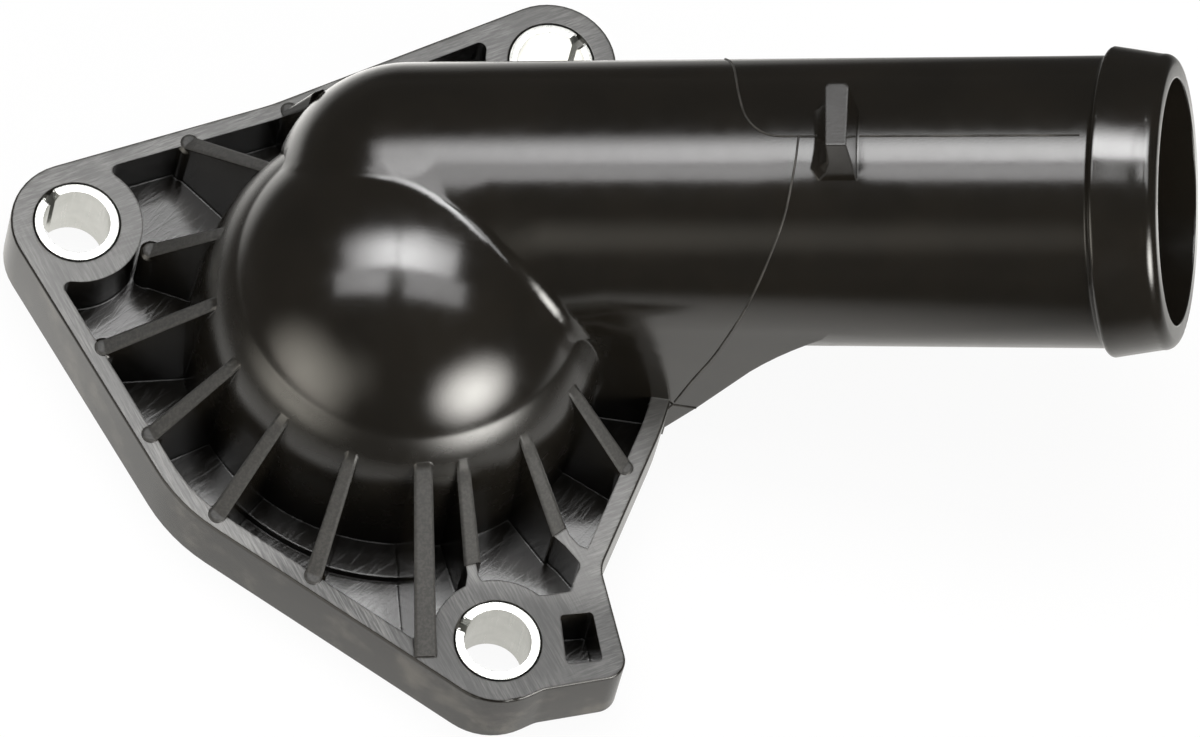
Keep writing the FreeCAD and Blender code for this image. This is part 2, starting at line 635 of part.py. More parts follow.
cones = [lead_in("left_lead", LEFT), lead_in("upper_lead", UPPER), lead_in("lower_lead", LOWER)]
groove = new_body("groove")
groove_plan = new_sketch(groove, "groove_plan")
ring_at_origin(groove_plan, "seal_outer")
ring_at_origin(groove_plan, "seal_inner")
pad(groove, groove_plan, "groove_form", "sizes.seal_depth")
doc.recompute()

cavities = doc.addObject("Part::MultiFuse", "cavities")
cavities.Shapes = [chamber, bore, holes, groove] + cones
doc.recompute()

housing = doc.addObject("Part::Cut", "housing")
housing.Base = outer_form
housing.Tool = cavities
housing.Refine = True
housing.Label = "housing"
doc.recompute()


def sleeve(name, centre, slit_angle):
    """A rolled steel bush that fills a bolt hole, with its seam slit turned to slit_angle."""
    body = new_body(name)
    body.Label = name
    body.Placement = FreeCAD.Placement(
        Vector(centre[0], centre[1], 0), FreeCAD.Rotation(Vector(0, 0, 1), slit_angle))
    ring = new_sketch(body, name + "_ring")
    ring_at_origin(ring, "sleeve_radius")
    ring_at_origin(ring, "sleeve_bore")
    pad(body, ring, name + "_wall", "sizes.flange_height")
    slit = new_sketch(body, name + "_slit", lift="flange_height")
    half = size("slit_width") / 2
    near = size("sleeve_bore") / 2
    far = size("sleeve_radius") + OVERCUT
    path(slit, [(near, -half), (far, -half), (far, half), (near, half)])
    pocket(body, slit, name + "_seam", "sizes.flange_height + %g" % OVERCUT)
    notch = new_sketch(body, name + "_notch", "YZ_Plane")
    top = size("flange_height")
    flare_half = half + size("notch_flare")
    low = top - size("notch_depth")
    path(notch, [(-flare_half, top), (-half, low), (half, low), (flare_half, top)])
    cut = body.newObject("PartDesign::Pocket", name + "_mouth")
    cut.Profile = notch
    cut.setExpression("Length", "sizes.sleeve_radius + %g" % OVERCUT)
    cut.Reversed = True
    notch.Visibility = False
    return body


left_sleeve = sleeve("left_sleeve", LEFT, 140.0)
upper_sleeve = sleeve("upper_sleeve", UPPER, 48.0)
lower_sleeve = sleeve("lower_sleeve", LOWER, 160.0)

# Mounting seal: a rubber ring that fills its groove, bevelled at the corners facing the engine.
seal = new_body("mounting_seal")
seal.Label = "mounting_seal"
seal_profile = new_sketch(seal, "seal_profile", "XZ_Plane")
IN = size("seal_inner")
EX = size("seal_outer")
DEEP = size("seal_depth")
BEVEL = size("seal_bevel")
path(seal_profile, [
    (IN + BEVEL, 0.0), (EX - BEVEL, 0.0), (EX, BEVEL), (EX, DEEP), (IN, DEEP), (IN, BEVEL),
])
revolve(seal, seal_profile, "seal_form", "V_Axis")
doc.recompute()

# Every object must have been built, and every piece must be one valid solid.
for thing in doc.Objects:
    for state in thing.State:
        if "Invalid" in state or "Error" in state:
            raise RuntimeError("%s is %s" % (thing.Name, state))
NODES = [housing, left_sleeve, upper_sleeve, lower_sleeve, seal]
for node in NODES:
    shape = node.Shape
    if shape.isNull() or not shape.isValid():
        raise RuntimeError("%s has no valid shape" % node.Label)
    shape.exportStep("parts/%s.step" % node.Label)
print("%d pieces written" % len(NODES))
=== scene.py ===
"""Looks of a coolant water outlet: black moulded nylon, rolled steel bolt sleeves and a rubber seal."""

import functools
import logging
import math
from dataclasses import dataclass, field
from enum import Enum

import bmesh
import bpy
from mathutils import Euler, Matrix, Vector

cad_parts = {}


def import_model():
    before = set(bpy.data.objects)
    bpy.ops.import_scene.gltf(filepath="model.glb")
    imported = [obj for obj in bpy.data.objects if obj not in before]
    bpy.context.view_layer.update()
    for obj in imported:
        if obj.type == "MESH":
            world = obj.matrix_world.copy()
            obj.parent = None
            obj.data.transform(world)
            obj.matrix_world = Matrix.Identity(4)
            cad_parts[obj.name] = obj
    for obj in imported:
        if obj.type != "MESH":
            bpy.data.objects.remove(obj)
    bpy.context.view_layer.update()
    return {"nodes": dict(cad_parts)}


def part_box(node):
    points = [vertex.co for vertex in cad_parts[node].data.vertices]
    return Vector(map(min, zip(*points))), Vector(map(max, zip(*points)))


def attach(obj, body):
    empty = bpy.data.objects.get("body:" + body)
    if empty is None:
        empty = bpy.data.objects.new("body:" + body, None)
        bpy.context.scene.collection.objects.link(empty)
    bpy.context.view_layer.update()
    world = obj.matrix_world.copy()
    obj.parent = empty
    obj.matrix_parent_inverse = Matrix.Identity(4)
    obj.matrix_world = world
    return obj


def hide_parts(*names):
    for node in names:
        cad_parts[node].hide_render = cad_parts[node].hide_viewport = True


MM = 0.001
log = logging.getLogger("water_outlet")

Socket = bpy.types.NodeSocket
Colour = tuple[float, float, float]
Pair = tuple[float, float]
Spot = tuple[float, float, float]


class Slot(Enum):
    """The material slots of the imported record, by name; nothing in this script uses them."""

    NYLON = "nylon"
    STEEL = "sleeve_steel"


class Bolt(Enum):
    """The bolt holes, by the name of the sleeve in each."""

    LEFT = "left_sleeve"
    UPPER = "upper_sleeve"
    LOWER = "lower_sleeve"


class Ease(Enum):
    """How a number runs from the start of a range to its end."""

    SOFT = "SMOOTHSTEP"
    STRAIGHT = "LINEAR"


class Graph:
    """A node tree that is wired with short calls."""

    def __init__(self, tree: bpy.types.NodeTree) -> None:
        """Keeps the tree.

        Args:
            tree: The tree to add nodes to.
        """
        self.tree = tree

    def add(self, kind: str, values: dict | None = None, **settings: object) -> bpy.types.Node:
        """Adds a node, sets it up and fills its inputs.

        Args:
            kind: The node's type.
            values: What goes into its inputs, by name or number. A socket is linked, a value is set.
            settings: The node's own properties.

        Returns:
            The new node.
        """
        node = self.tree.nodes.new(kind)
        for name, setting in settings.items():
            setattr(node, name, setting)
        for key, value in (values or {}).items():
            if isinstance(value, Socket):
                self.tree.links.new(value, node.inputs[key])
            else:
                node.inputs[key].default_value = value
        return node

    def link(self, value: Socket, node: bpy.types.Node, name: str) -> None:
        """Leads a socket to a node's input."""
        self.tree.links.new(value, node.inputs[name])

    def maths(self, operation: str, first: object, second: object = 0.0) -> Socket:
        """Adds a number node.

        Args:
            operation: The name of the sum.
            first: A socket or number.
            second: A socket or number.

        Returns:
            The result.
        """
        return self.add("ShaderNodeMath", {0: first, 1: second}, operation=operation).outputs[0]

    def product(self, *factors: object) -> Socket:
        """Multiplies two or more sockets or numbers."""
        return functools.reduce(functools.partial(self.maths, "MULTIPLY"), factors)

    def total(self, *terms: object) -> Socket:
        """Adds up two or more sockets or numbers."""
        return functools.reduce(functools.partial(self.maths, "ADD"), terms)

    def mix(self, amount: object, first: object, second: object) -> Socket:
        """Gives the first number where the amount is 0 and the second where it is 1."""
        return self.add("ShaderNodeMix", {0: amount, 2: first, 3: second}).outputs[0]

    def parts(self, vector: Socket) -> list[Socket]:
        """Splits a vector into X, Y and Z."""
        return list(self.add("ShaderNodeSeparateXYZ", {0: vector}).outputs)

    def vector_maths(self, operation: str, first: object, second: object = (0.0, 0.0, 0.0)) -> Socket:
        """Adds a vector node that gives a number, such as a length or a distance.

        Args:
            operation: The name of the sum.
            first: A socket or vector.
            second: A socket or vector.

        Returns:
            The number.
        """
        values = {0: first, 1: second}
        return self.add("ShaderNodeVectorMath", values, operation=operation).outputs["Value"]

    def spoke(self, place: Socket) -> tuple[Socket, Socket]:
        """Gives the level vector from the Z axis to a place, and its length."""
        across, along, _ = self.parts(place)
        flat = self.add("ShaderNodeCombineXYZ", {0: across, 1: along}).outputs[0]
        return flat, self.vector_maths("LENGTH", flat)

    def ramp(self, value: Socket, low: float, high: float, start: float = 0.0, end: float = 1.0,
             ease: Ease = Ease.SOFT) -> Socket:
        """Turns a range into another one.

        Args:
            value: The number to turn.
            low: Where the range starts.
            high: Where it ends.
            start: The result at the start.
            end: The result at the end.
            ease: How it runs between them.

        Returns:
            The result.
        """
        values = {0: value, 1: low, 2: high, 3: start, 4: end}
        return self.add("ShaderNodeMapRange", values, interpolation_type=ease.value).outputs[0]

    def noise(self, vector: Socket, scale: float, detail: float = 2.0, rough: float = 0.5) -> Socket:
        """Adds a noise.

        Args:
            vector: Where it is read.
            scale: How fine it is, as waves in a metre.
            detail: How many finer layers it has.
            rough: How strong they are.

        Returns:
            Its value from 0 to 1.
        """
        values = {"Vector": vector, "Scale": scale, "Detail": detail, "Roughness": rough}
        return self.add("ShaderNodeTexNoise", values).outputs[0]

    def turned(self, vector: Socket, degrees: float, stretch: Spot) -> Socket:
        """Turns a place about Z and stretches it.

        Args:
            vector: The place.
            degrees: The turn.
            stretch: The scale of each axis.

        Returns:
            The new place.
        """
        shrink = tuple(1.0 / share for share in stretch)
        values = {"Vector": vector, "Rotation": (0.0, 0.0, math.radians(degrees)), "Scale": shrink}
        return self.add("ShaderNodeMapping", values, vector_type="TEXTURE").outputs[0]

    def blend(self, amount: Socket | float, first: object, second: object) -> Socket:
        """Mixes two colours.

        Args:
            amount: 0 for the first, 1 for the second.
            first: A socket or a colour.
            second: A socket or a colour.

        Returns:
            The mixed colour.
        """
        node = self.add("ShaderNodeMix", {0: amount}, data_type="RGBA")
        for key, value in ((6, first), (7, second)):
            if isinstance(value, Socket):
                self.tree.links.new(value, node.inputs[key])
            else:
                node.inputs[key].default_value = (*value, 1.0)
        return node.outputs[2]


def new_material(name: str) -> tuple[bpy.types.Material, Graph, bpy.types.Node]:
    """Starts a material.

    Args:
        name: Its name.

    Returns:
        The material, its graph, and its shader, which is joined to the output.
    """
    material = bpy.data.materials.new(name)
    material.use_nodes = True
    graph = Graph(material.node_tree)
    graph.tree.nodes.clear()
    shader = graph.add("ShaderNodeBsdfPrincipled")
    graph.add("ShaderNodeOutputMaterial", {"Surface": shader.outputs[0]})
    return material, graph, shader


@dataclass
class Regions:
    """The kinds of surface on the housing, each a mask that is 1 on it and 0 elsewhere.

    Attributes:
        top: The flat tops of the rim and bosses.
        crest: The sloping crests of the ribs.
        shoulder: The shoulder of the dome.
        lower_boss: The part of the flange round the lower bolt.
        marks: The tool marks in the floors of the pockets.
        film: The smears of brown film on the outer wall of the flange.
        scuff: The scratches of the flat tops.
        matt: The tops and crests together.
    """

    top: Socket
    crest: Socket
    shoulder: Socket
    lower_boss: Socket
    marks: Socket
    film: Socket
    scuff: Socket
    matt: Socket


@dataclass(frozen=True)
class MouldedNylon:
    """Black glass-filled nylon, satin on the walls and scuffed grey on the flat tops.

    Pairs of lengths say where a mask starts and where it is full, or where it starts to fade
    and where it is gone.

    Attributes:
        black: The darker tone of the walls.
        brown: Their warmer tone.
        scuffed: The scratches of the flat tops.
        worn_black: The flat tops between the scratches.
        dark_top: The same on the lower boss.
        crest_grey: The crests of the ribs.
        film: The film on the outer wall of the flange.
        top_height: The height of the flat tops.
        edge_radius: The rounding that every edge shows.
        relief_depth: The height of one unit of relief.
        refraction: The refractive index.
        specular: The strength of the reflection.
        gloss: The roughness of the walls, least and most.
        dull: The roughness of the flat tops, least and most.
        crest_dull: The roughness of the crests.
        boss_dull: What the lower boss adds to it.
        mark_dull: What a tool mark adds to it.
        shoulder_dull: What the dome's shoulder adds to it.
        crest_share: How matt the crests are, where the tops are 1.
        boss_share: How strong the scratches of the lower boss are, where the others are 1.
        bare_spot: The middle of the most scratched stretch of the rim.
        bare_reach: How far it reaches.
        boss_edge: Where the lower boss starts along Y.
        cross_sides: Where the scratches turn the other way, along Y and along X.
        foot: How far from the Z axis the dome's wall ends and the ribs start.
        crest_heights: Where the crests start and where they end.
        shoulder_reach: Where the dome's shoulder starts from the Z axis.
        shoulder_end: Where it ends.
        shoulder_top: Where it ends in height.
        wall_reach: How far from the Z axis the outer wall of the flange starts.
        wall_turn: How squarely it has to face away from the axis.
        wall_top: Where the film ends below the flat tops.
        floor_top: The height where the pocket floors end.
        mark_angles: The two slants of the tool marks, in degrees.
        mark_grain: How fine they are along and across, as waves in a metre.
        scuff_angles: The slant of the scratches of the flat tops, on the left and the right.
        scuff_grains: How fine they are there.
        clouds: How fine the soft clouds of the walls are, as waves in a metre.
        smears: The same for the smears of film.
        patches: The same for the patches of scratches.
        peel: The same for the waviness of the walls.
        specks: The same for the specks of the crests.
        grain: The same for the grain of every surface.
    """

    black: Colour = (0.0082, 0.0070, 0.0052)
    brown: Colour = (0.0108, 0.0090, 0.0066)
    scuffed: Colour = (0.250, 0.247, 0.239)
    worn_black: Colour = (0.058, 0.056, 0.052)
    dark_top: Colour = (0.018, 0.0172, 0.016)
    crest_grey: Colour = (0.027, 0.0255, 0.023)
    film: Colour = (0.120, 0.108, 0.088)
    top_height: float = 10.5 * MM
    edge_radius: float = 0.35 * MM
    relief_depth: float = 0.004 * MM
    refraction: float = 1.58
    specular: float = 0.8
    gloss: Pair = (0.14, 0.185)
    dull: Pair = (0.42, 0.58)
    crest_dull: float = 0.76
    boss_dull: float = 0.12
    mark_dull: float = 0.09
    shoulder_dull: float = 0.10
    crest_share: float = 0.85
    boss_share: float = 0.60
    bare_spot: Pair = (-12.0 * MM, -31.0 * MM)
    bare_reach: Pair = (14.0 * MM, 26.0 * MM)
    boss_edge: Pair = (-37.0 * MM, -32.0 * MM)
    cross_sides: tuple[Pair, Pair] = ((2.0 * MM, 12.0 * MM), (24.0 * MM, 30.0 * MM))
    foot: Pair = (24.6 * MM, 26.2 * MM)
    crest_heights: tuple[Pair, Pair] = ((10.52 * MM, 10.62 * MM), (23.6 * MM, 24.4 * MM))
    shoulder_reach: Pair = (20.5 * MM, 23.0 * MM)
    shoulder_end: Pair = (27.0 * MM, 27.5 * MM)
    shoulder_top: Pair = (25.2 * MM, 27.2 * MM)
    wall_reach: Pair = (33.0 * MM, 35.0 * MM)
    wall_turn: Pair = (8.0 * MM, 16.0 * MM)
    wall_top: Pair = (9.6 * MM, 10.2 * MM)
    floor_top: Pair = (4.6 * MM, 6.0 * MM)
    mark_angles: Pair = (44.0, 60.0)
    mark_grain: Spot = (230.0, 2500.0, 400.0)
    scuff_angles: Pair = (-57.0, 30.0)
    scuff_grains: tuple[Spot, Spot] = ((260.0, 3800.0, 900.0), (320.0, 3400.0, 900.0))
    clouds: float = 90.0
    smears: float = 120.0
    patches: float = 150.0
    peel: float = 420.0
    specks: float = 2600.0
    grain: float = 3600.0

    def material(self) -> bpy.types.Material:
        """Makes the finish.

        Returns:
            The material.
        """
        material, graph, shader = new_material("moulded_nylon")
        place = graph.add("ShaderNodeTexCoord").outputs["Object"]
        facing = graph.add("ShaderNodeTexCoord").outputs["Normal"]
        spots = self.regions(graph, place, facing)
        peel = graph.noise(place, self.peel, 2.0)
        graph.link(self.colour(graph, place, spots), shader, "Base Color")
        graph.link(self.roughness(graph, peel, spots), shader, "Roughness")
        edge = graph.add("ShaderNodeBevel", {"Radius": self.edge_radius}, samples=6).outputs[0]
        relief = self.relief(graph, place, peel, spots)
        values = {"Height": relief, "Distance": self.relief_depth, "Strength": 1.0, "Normal": edge}
        graph.link(graph.add("ShaderNodeBump", values).outputs[0], shader, "Normal")
        shader.inputs["IOR"].default_value = self.refraction
        shader.inputs["Specular IOR Level"].default_value = self.specular
        return material

    def colour(self, graph: Graph, place: Socket, spots: Regions) -> Socket:
        """Paints the walls, crests, tops and smears.

        Args:
            graph: The material's graph.
            place: Where a point is.
            spots: The kinds of surface.

        Returns:
            The colour.
        """
        cloud = graph.ramp(graph.noise(place, self.clouds, 3.0), 0.3, 0.7)
        base = graph.blend(spots.film, graph.blend(cloud, self.black, self.brown), self.film)
        dark_share, pale_share = 0.6, 1.5
        dark_grain = tuple(dark_share * tone for tone in self.crest_grey)
        pale_grain = tuple(pale_share * tone for tone in self.crest_grey)
        speck = graph.ramp(graph.noise(place, self.specks, 2.0), 0.35, 0.70)
        crests = graph.blend(spots.crest, base, graph.blend(speck, dark_grain, pale_grain))
        between = graph.blend(spots.lower_boss, self.worn_black, self.dark_top)
        return graph.blend(spots.top, crests, graph.blend(spots.scuff, between, self.scuffed))

    def roughness(self, graph: Graph, peel: Socket, spots: Regions) -> Socket:
        """Says how rough each kind of surface is.

        Args:
            graph: The material's graph.
            peel: The slow waviness of the walls.
            spots: The kinds of surface.

        Returns:
            The roughness.
        """
        gloss = graph.ramp(peel, 0.2, 0.8, *self.gloss)
        dull = graph.ramp(spots.scuff, 0.0, 1.0, *self.dull)
        dull = graph.total(dull, graph.product(spots.lower_boss, self.boss_dull))
        dull = graph.maths("MAXIMUM", dull, graph.product(spots.crest, self.crest_dull))
        marked = graph.product(spots.marks, self.mark_dull)
        hazy = graph.product(spots.shoulder, self.shoulder_dull)
        return graph.total(graph.mix(spots.matt, gloss, dull), marked, hazy)

    def relief(self, graph: Graph, place: Socket, peel: Socket, spots: Regions) -> Socket:
        """Raises the grain and the scratches and sinks the tool marks.

        Args:
            graph: The material's graph.
            place: Where a point is.
            peel: The slow waviness of the walls.
            spots: The kinds of surface.

        Returns:
            The height.
        """
        wall_grain, matt_grain, wave, scratch, mark = 1.4, 0.8, 1.1, 1.4, -0.9
        strength = graph.total(wall_grain, graph.product(spots.matt, matt_grain))
        return graph.total(
            graph.product(graph.noise(place, self.grain, 3.0, 0.6), strength),
            graph.product(peel, wave),
            graph.product(spots.scuff, spots.matt, scratch),
            graph.product(spots.marks, mark),
        )

    def regions(self, graph: Graph, place: Socket, facing: Socket) -> Regions:
        """Finds the kinds of surface.

        Args:
            graph: The material's graph.
            place: Where a point is.
            facing: Which way it faces.

        Returns:
            Their masks.
        """
        near_top, top_facing, floor_facing = (0.03 * MM, 0.08 * MM), (0.85, 0.97), (0.8, 0.95)
        _, along, height = graph.parts(place)
        up = graph.parts(facing)[2]
        off = graph.maths("ABSOLUTE", graph.maths("SUBTRACT", height, self.top_height))
        top = graph.product(graph.ramp(off, *near_top, 1.0, 0.0), graph.ramp(up, *top_facing))
        crest = self.rib_crest(graph, place, up)
        lower_boss = graph.ramp(along, *self.boss_edge, 1.0, 0.0)
        low = graph.ramp(height, *self.floor_top, 1.0, 0.0)
        floor = graph.product(graph.ramp(up, *floor_facing), low)
        return Regions(
            top=top, crest=crest, shoulder=self.shoulder(graph, place), lower_boss=lower_boss,
            marks=graph.product(self.scratches(graph, place), floor),
            film=self.dusty_wall(graph, place, facing), scuff=self.scuffs(graph, place, lower_boss),
            matt=graph.maths("MAXIMUM", top, graph.product(crest, self.crest_share)),
        )

    def scuffs(self, graph: Graph, place: Socket, lower_boss: Socket) -> Socket:
        """Draws the scratches of the flat tops, slanted one way on the left and another on the right.

        Args:
            graph: The material's graph.
            place: Where a point is.
            lower_boss: 1 round the lower bolt, where they are fainter.

        Returns:
            How strong they are, from 0 up.
        """
        across, along, _ = graph.parts(place)
        left, right = (
            graph.noise(graph.turned(place, degrees, grain), 1.0, 3.0, 0.7)
            for degrees, grain in zip(self.scuff_angles, self.scuff_grains)
        )
        upper, beside = self.cross_sides
        side = graph.maths("MAXIMUM", graph.ramp(along, *upper), graph.ramp(across, *beside))
        lines = graph.ramp(graph.mix(side, left, right), 0.36, 0.72)
        patch = graph.ramp(graph.noise(place, self.patches, 3.0), 0.38, 0.66, 0.25, 0.75)
        away = graph.vector_maths("DISTANCE", place, (*self.bare_spot, self.top_height))
        bare = graph.ramp(away, *self.bare_reach, 0.55, 0.0)
        fainter = graph.mix(lower_boss, 1.0, self.boss_share)
        return graph.product(lines, graph.product(graph.total(patch, bare), fainter))

    def rib_crest(self, graph: Graph, place: Socket, up: Socket) -> Socket:
        """Finds the sloping crests of the ribs.

        Args:
            graph: The material's graph.
            place: Where a point is.
            up: How much it faces upwards.

        Returns:
            1 on them and 0 elsewhere.
        """
        slope = (0.30, 0.50)
        height = graph.parts(place)[2]
        start, end = self.crest_heights
        outside = graph.ramp(graph.spoke(place)[1], *self.foot)
        above, below = graph.ramp(height, *start), graph.ramp(height, *end, 1.0, 0.0)
        return graph.product(outside, graph.ramp(up, *slope), graph.product(above, below))

    def shoulder(self, graph: Graph, place: Socket) -> Socket:
        """Finds the shoulder of the dome, which is duller than its ball.

        Args:
            graph: The material's graph.
            place: Where a point is.

        Returns:
            1 on it and 0 elsewhere.
        """
        reach = graph.spoke(place)[1]
        inside = graph.ramp(reach, *self.shoulder_end, 1.0, 0.0)
        below = graph.ramp(graph.parts(place)[2], *self.shoulder_top, 1.0, 0.0)
        return graph.product(graph.ramp(reach, *self.shoulder_reach), inside, below)

    def dusty_wall(self, graph: Graph, place: Socket, facing: Socket) -> Socket:
        """Finds the smears of brown film on the outer wall of the flange.

        Args:
            graph: The material's graph.
            place: Where a point is.
            facing: Which way it faces.

        Returns:
            Up to 1 in a smear and 0 elsewhere.
        """
        flat, reach = graph.spoke(place)
        away = graph.vector_maths("DOT_PRODUCT", facing, flat)
        outer = graph.product(graph.ramp(reach, *self.wall_reach), graph.ramp(away, *self.wall_turn))
        low = graph.ramp(graph.parts(place)[2], *self.wall_top, 1.0, 0.0)
        smear = graph.ramp(graph.noise(place, self.smears, 5.0, 0.65), 0.48, 0.72, 0.0, 0.55)
        return graph.product(outer, low, smear)

    def scratches(self, graph: Graph, place: Socket) -> Socket:
        """Draws short tool marks that cross at a slant.

        Args:
            graph: The material's graph.
            place: Where a point is.

        Returns:
            1 in a mark and 0 beside it.
        """
        marks = []
        for degrees in self.mark_angles:
            line = graph.noise(graph.turned(place, degrees, self.mark_grain), 1.0, 1.0)
            marks.append(graph.ramp(line, 0.54, 0.66))
        return graph.maths("MAXIMUM", *marks)


@dataclass(frozen=True)
class SeamNylon:
    """The same nylon where it squeezed between the halves of the mould: matt and slightly paler."""

    dark: Colour = (0.020, 0.018, 0.015)
    pale: Colour = (0.055, 0.051, 0.045)
    rough: Pair = (0.40, 0.60)
    relief_depth: float = 0.01 * MM

    def material(self) -> bpy.types.Material:
        """Makes the finish.

        Returns:
            The material.
        """
        material, graph, shader = new_material("seam_nylon")
        place = graph.add("ShaderNodeTexCoord").outputs["Object"]
        patch = graph.ramp(graph.noise(place, 260.0, 3.0), 0.35, 0.65)
        grain = graph.noise(place, 4200.0, 2.0)
        graph.link(graph.blend(patch, self.dark, self.pale), shader, "Base Color")
        graph.link(graph.ramp(grain, 0.3, 0.7, *self.rough), shader, "Roughness")
        values = {"Height": grain, "Distance": self.relief_depth, "Strength": 1.0}
        graph.link(graph.add("ShaderNodeBump", values).outputs[0], shader, "Normal")
        return material


@dataclass(frozen=True)
class PlatedSteel:
    """Bright zinc-plated steel with rolling marks."""

    bright: Colour = (0.78, 0.78, 0.75)
    shade: Colour = (0.60, 0.61, 0.58)
    rough: Pair = (0.27, 0.33)
    edge_radius: float = 0.15 * MM
    relief_depth: float = 0.0015 * MM

    def material(self) -> bpy.types.Material:
        """Makes the finish.

        Returns:
            The material.
        """
        material, graph, shader = new_material("plated_steel")
        place = graph.add("ShaderNodeTexCoord").outputs["Object"]
        cloud = graph.noise(place, 500.0, 3.0)
        rolled = graph.noise(graph.turned(place, 0.0, (3500.0, 3500.0, 160.0)), 1.0, 2.0)
        graph.link(graph.blend(cloud, self.shade, self.bright), shader, "Base Color")
        graph.link(graph.ramp(rolled, 0.3, 0.7, *self.rough), shader, "Roughness")
        edge = graph.add("ShaderNodeBevel", {"Radius": self.edge_radius}, samples=4).outputs[0]
        values = {"Height": rolled, "Distance": self.relief_depth, "Strength": 1.0, "Normal": edge}
        graph.link(graph.add("ShaderNodeBump", values).outputs[0], shader, "Normal")
        shader.inputs["Metallic"].default_value = 1.0
        return material


@dataclass(frozen=True)
class SealRubber:
    """Matt black rubber with a fine bloom."""

    black: Colour = (0.020, 0.020, 0.021)
    bloom: Colour = (0.045, 0.045, 0.046)
    rough: Pair = (0.55, 0.72)
    relief_depth: float = 0.010 * MM

    def material(self) -> bpy.types.Material:
        """Makes the finish.

        Returns:
            The material.
        """
        material, graph, shader = new_material("seal_rubber")
        place = graph.add("ShaderNodeTexCoord").outputs["Object"]
        cloud = graph.noise(place, 220.0, 4.0, 0.6)
        fine = graph.noise(place, 5200.0, 2.0)
        patch = graph.ramp(cloud, 0.45, 0.75)
        graph.link(graph.blend(patch, self.black, self.bloom), shader, "Base Color")
        graph.link(graph.ramp(cloud, 0.3, 0.7, *self.rough), shader, "Roughness")
        values = {"Height": fine, "Distance": self.relief_depth, "Strength": 1.0}
        graph.link(graph.add("ShaderNodeBump", values).outputs[0], shader, "Normal")
        return material


@dataclass
class Softbox:
    """A rectangular lamp that looks at the object.

    Attributes:
        name: Its name.
        towards: The direction from the object to its middle.
        distance: How far away it is, in metres.
        width: Its size along its own X, in metres.
        height: Its size along its own Y, in metres.
        radiance: How bright its face is, where 1 is white.
        soft: How much of it fades out towards its rim, from 0 to 1.
        sides: The share of its brightness at its left and right edges.
        far_edge: The share of its brightness at the edge along its own +Y.
        tint: Its colour.
    """

    name: str
    towards: Spot
    distance: float
    width: float
    height: float
    radiance: float
    soft: float = 0.0
    sides: Pair = (1.0, 1.0)
    far_edge: float = 1.0
    tint: Colour = (1.0, 1.0, 1.0)

    def build(self) -> bpy.types.Object:
        """Hangs the lamp.

        Returns:
            The lamp's object.
        """
        lamp = bpy.data.lights.new(self.name, "AREA")
        lamp.shape = "RECTANGLE"
        lamp.size = self.width
        lamp.size_y = self.height
        lamp.energy = self.radiance * math.pi * self.width * self.height
        lamp.color = self.tint
        self.fade(lamp)
        shown = bpy.data.objects.new(self.name, lamp)
        bpy.context.scene.collection.objects.link(shown)
        back = Vector(self.towards).normalized()
        side = (Vector((1.0, 0.0, 0.0)) - back * back.x).normalized()
        turn = Matrix((side, back.cross(side), back)).transposed().to_4x4()
        shown.matrix_world = Matrix.Translation(back * self.distance) @ turn
        shown.visible_camera = False
        return shown

    def fade(self, lamp: bpy.types.Light) -> None:
        """Makes the face dimmer towards its rim, and from one side to the other.

        Args:
            lamp: The lamp's data.
        """
        lamp.use_nodes = True
        graph = Graph(lamp.node_tree)
        graph.tree.nodes.clear()
        middle, half, steady = (0.5, 0.5, 0.0), 0.5, 0.35
        place = graph.add("ShaderNodeNewGeometry").outputs["Parametric"]
        across, along, _ = graph.parts(place)
        level = graph.ramp(across, 0.0, 1.0, *self.sides, Ease.STRAIGHT)
        if self.far_edge < 1.0:
            level = graph.product(level, graph.ramp(along, steady, 1.0, 1.0, self.far_edge))
        if self.soft > 0.0:
            out = graph.vector_maths("DISTANCE", place, middle)
            level = graph.product(level, graph.ramp(out, half * (1.0 - self.soft), half, 1.0, 0.0))
        glow = graph.add("ShaderNodeEmission", {"Strength": level})
        graph.add("ShaderNodeOutputLight", {"Surface": glow.outputs[0]})


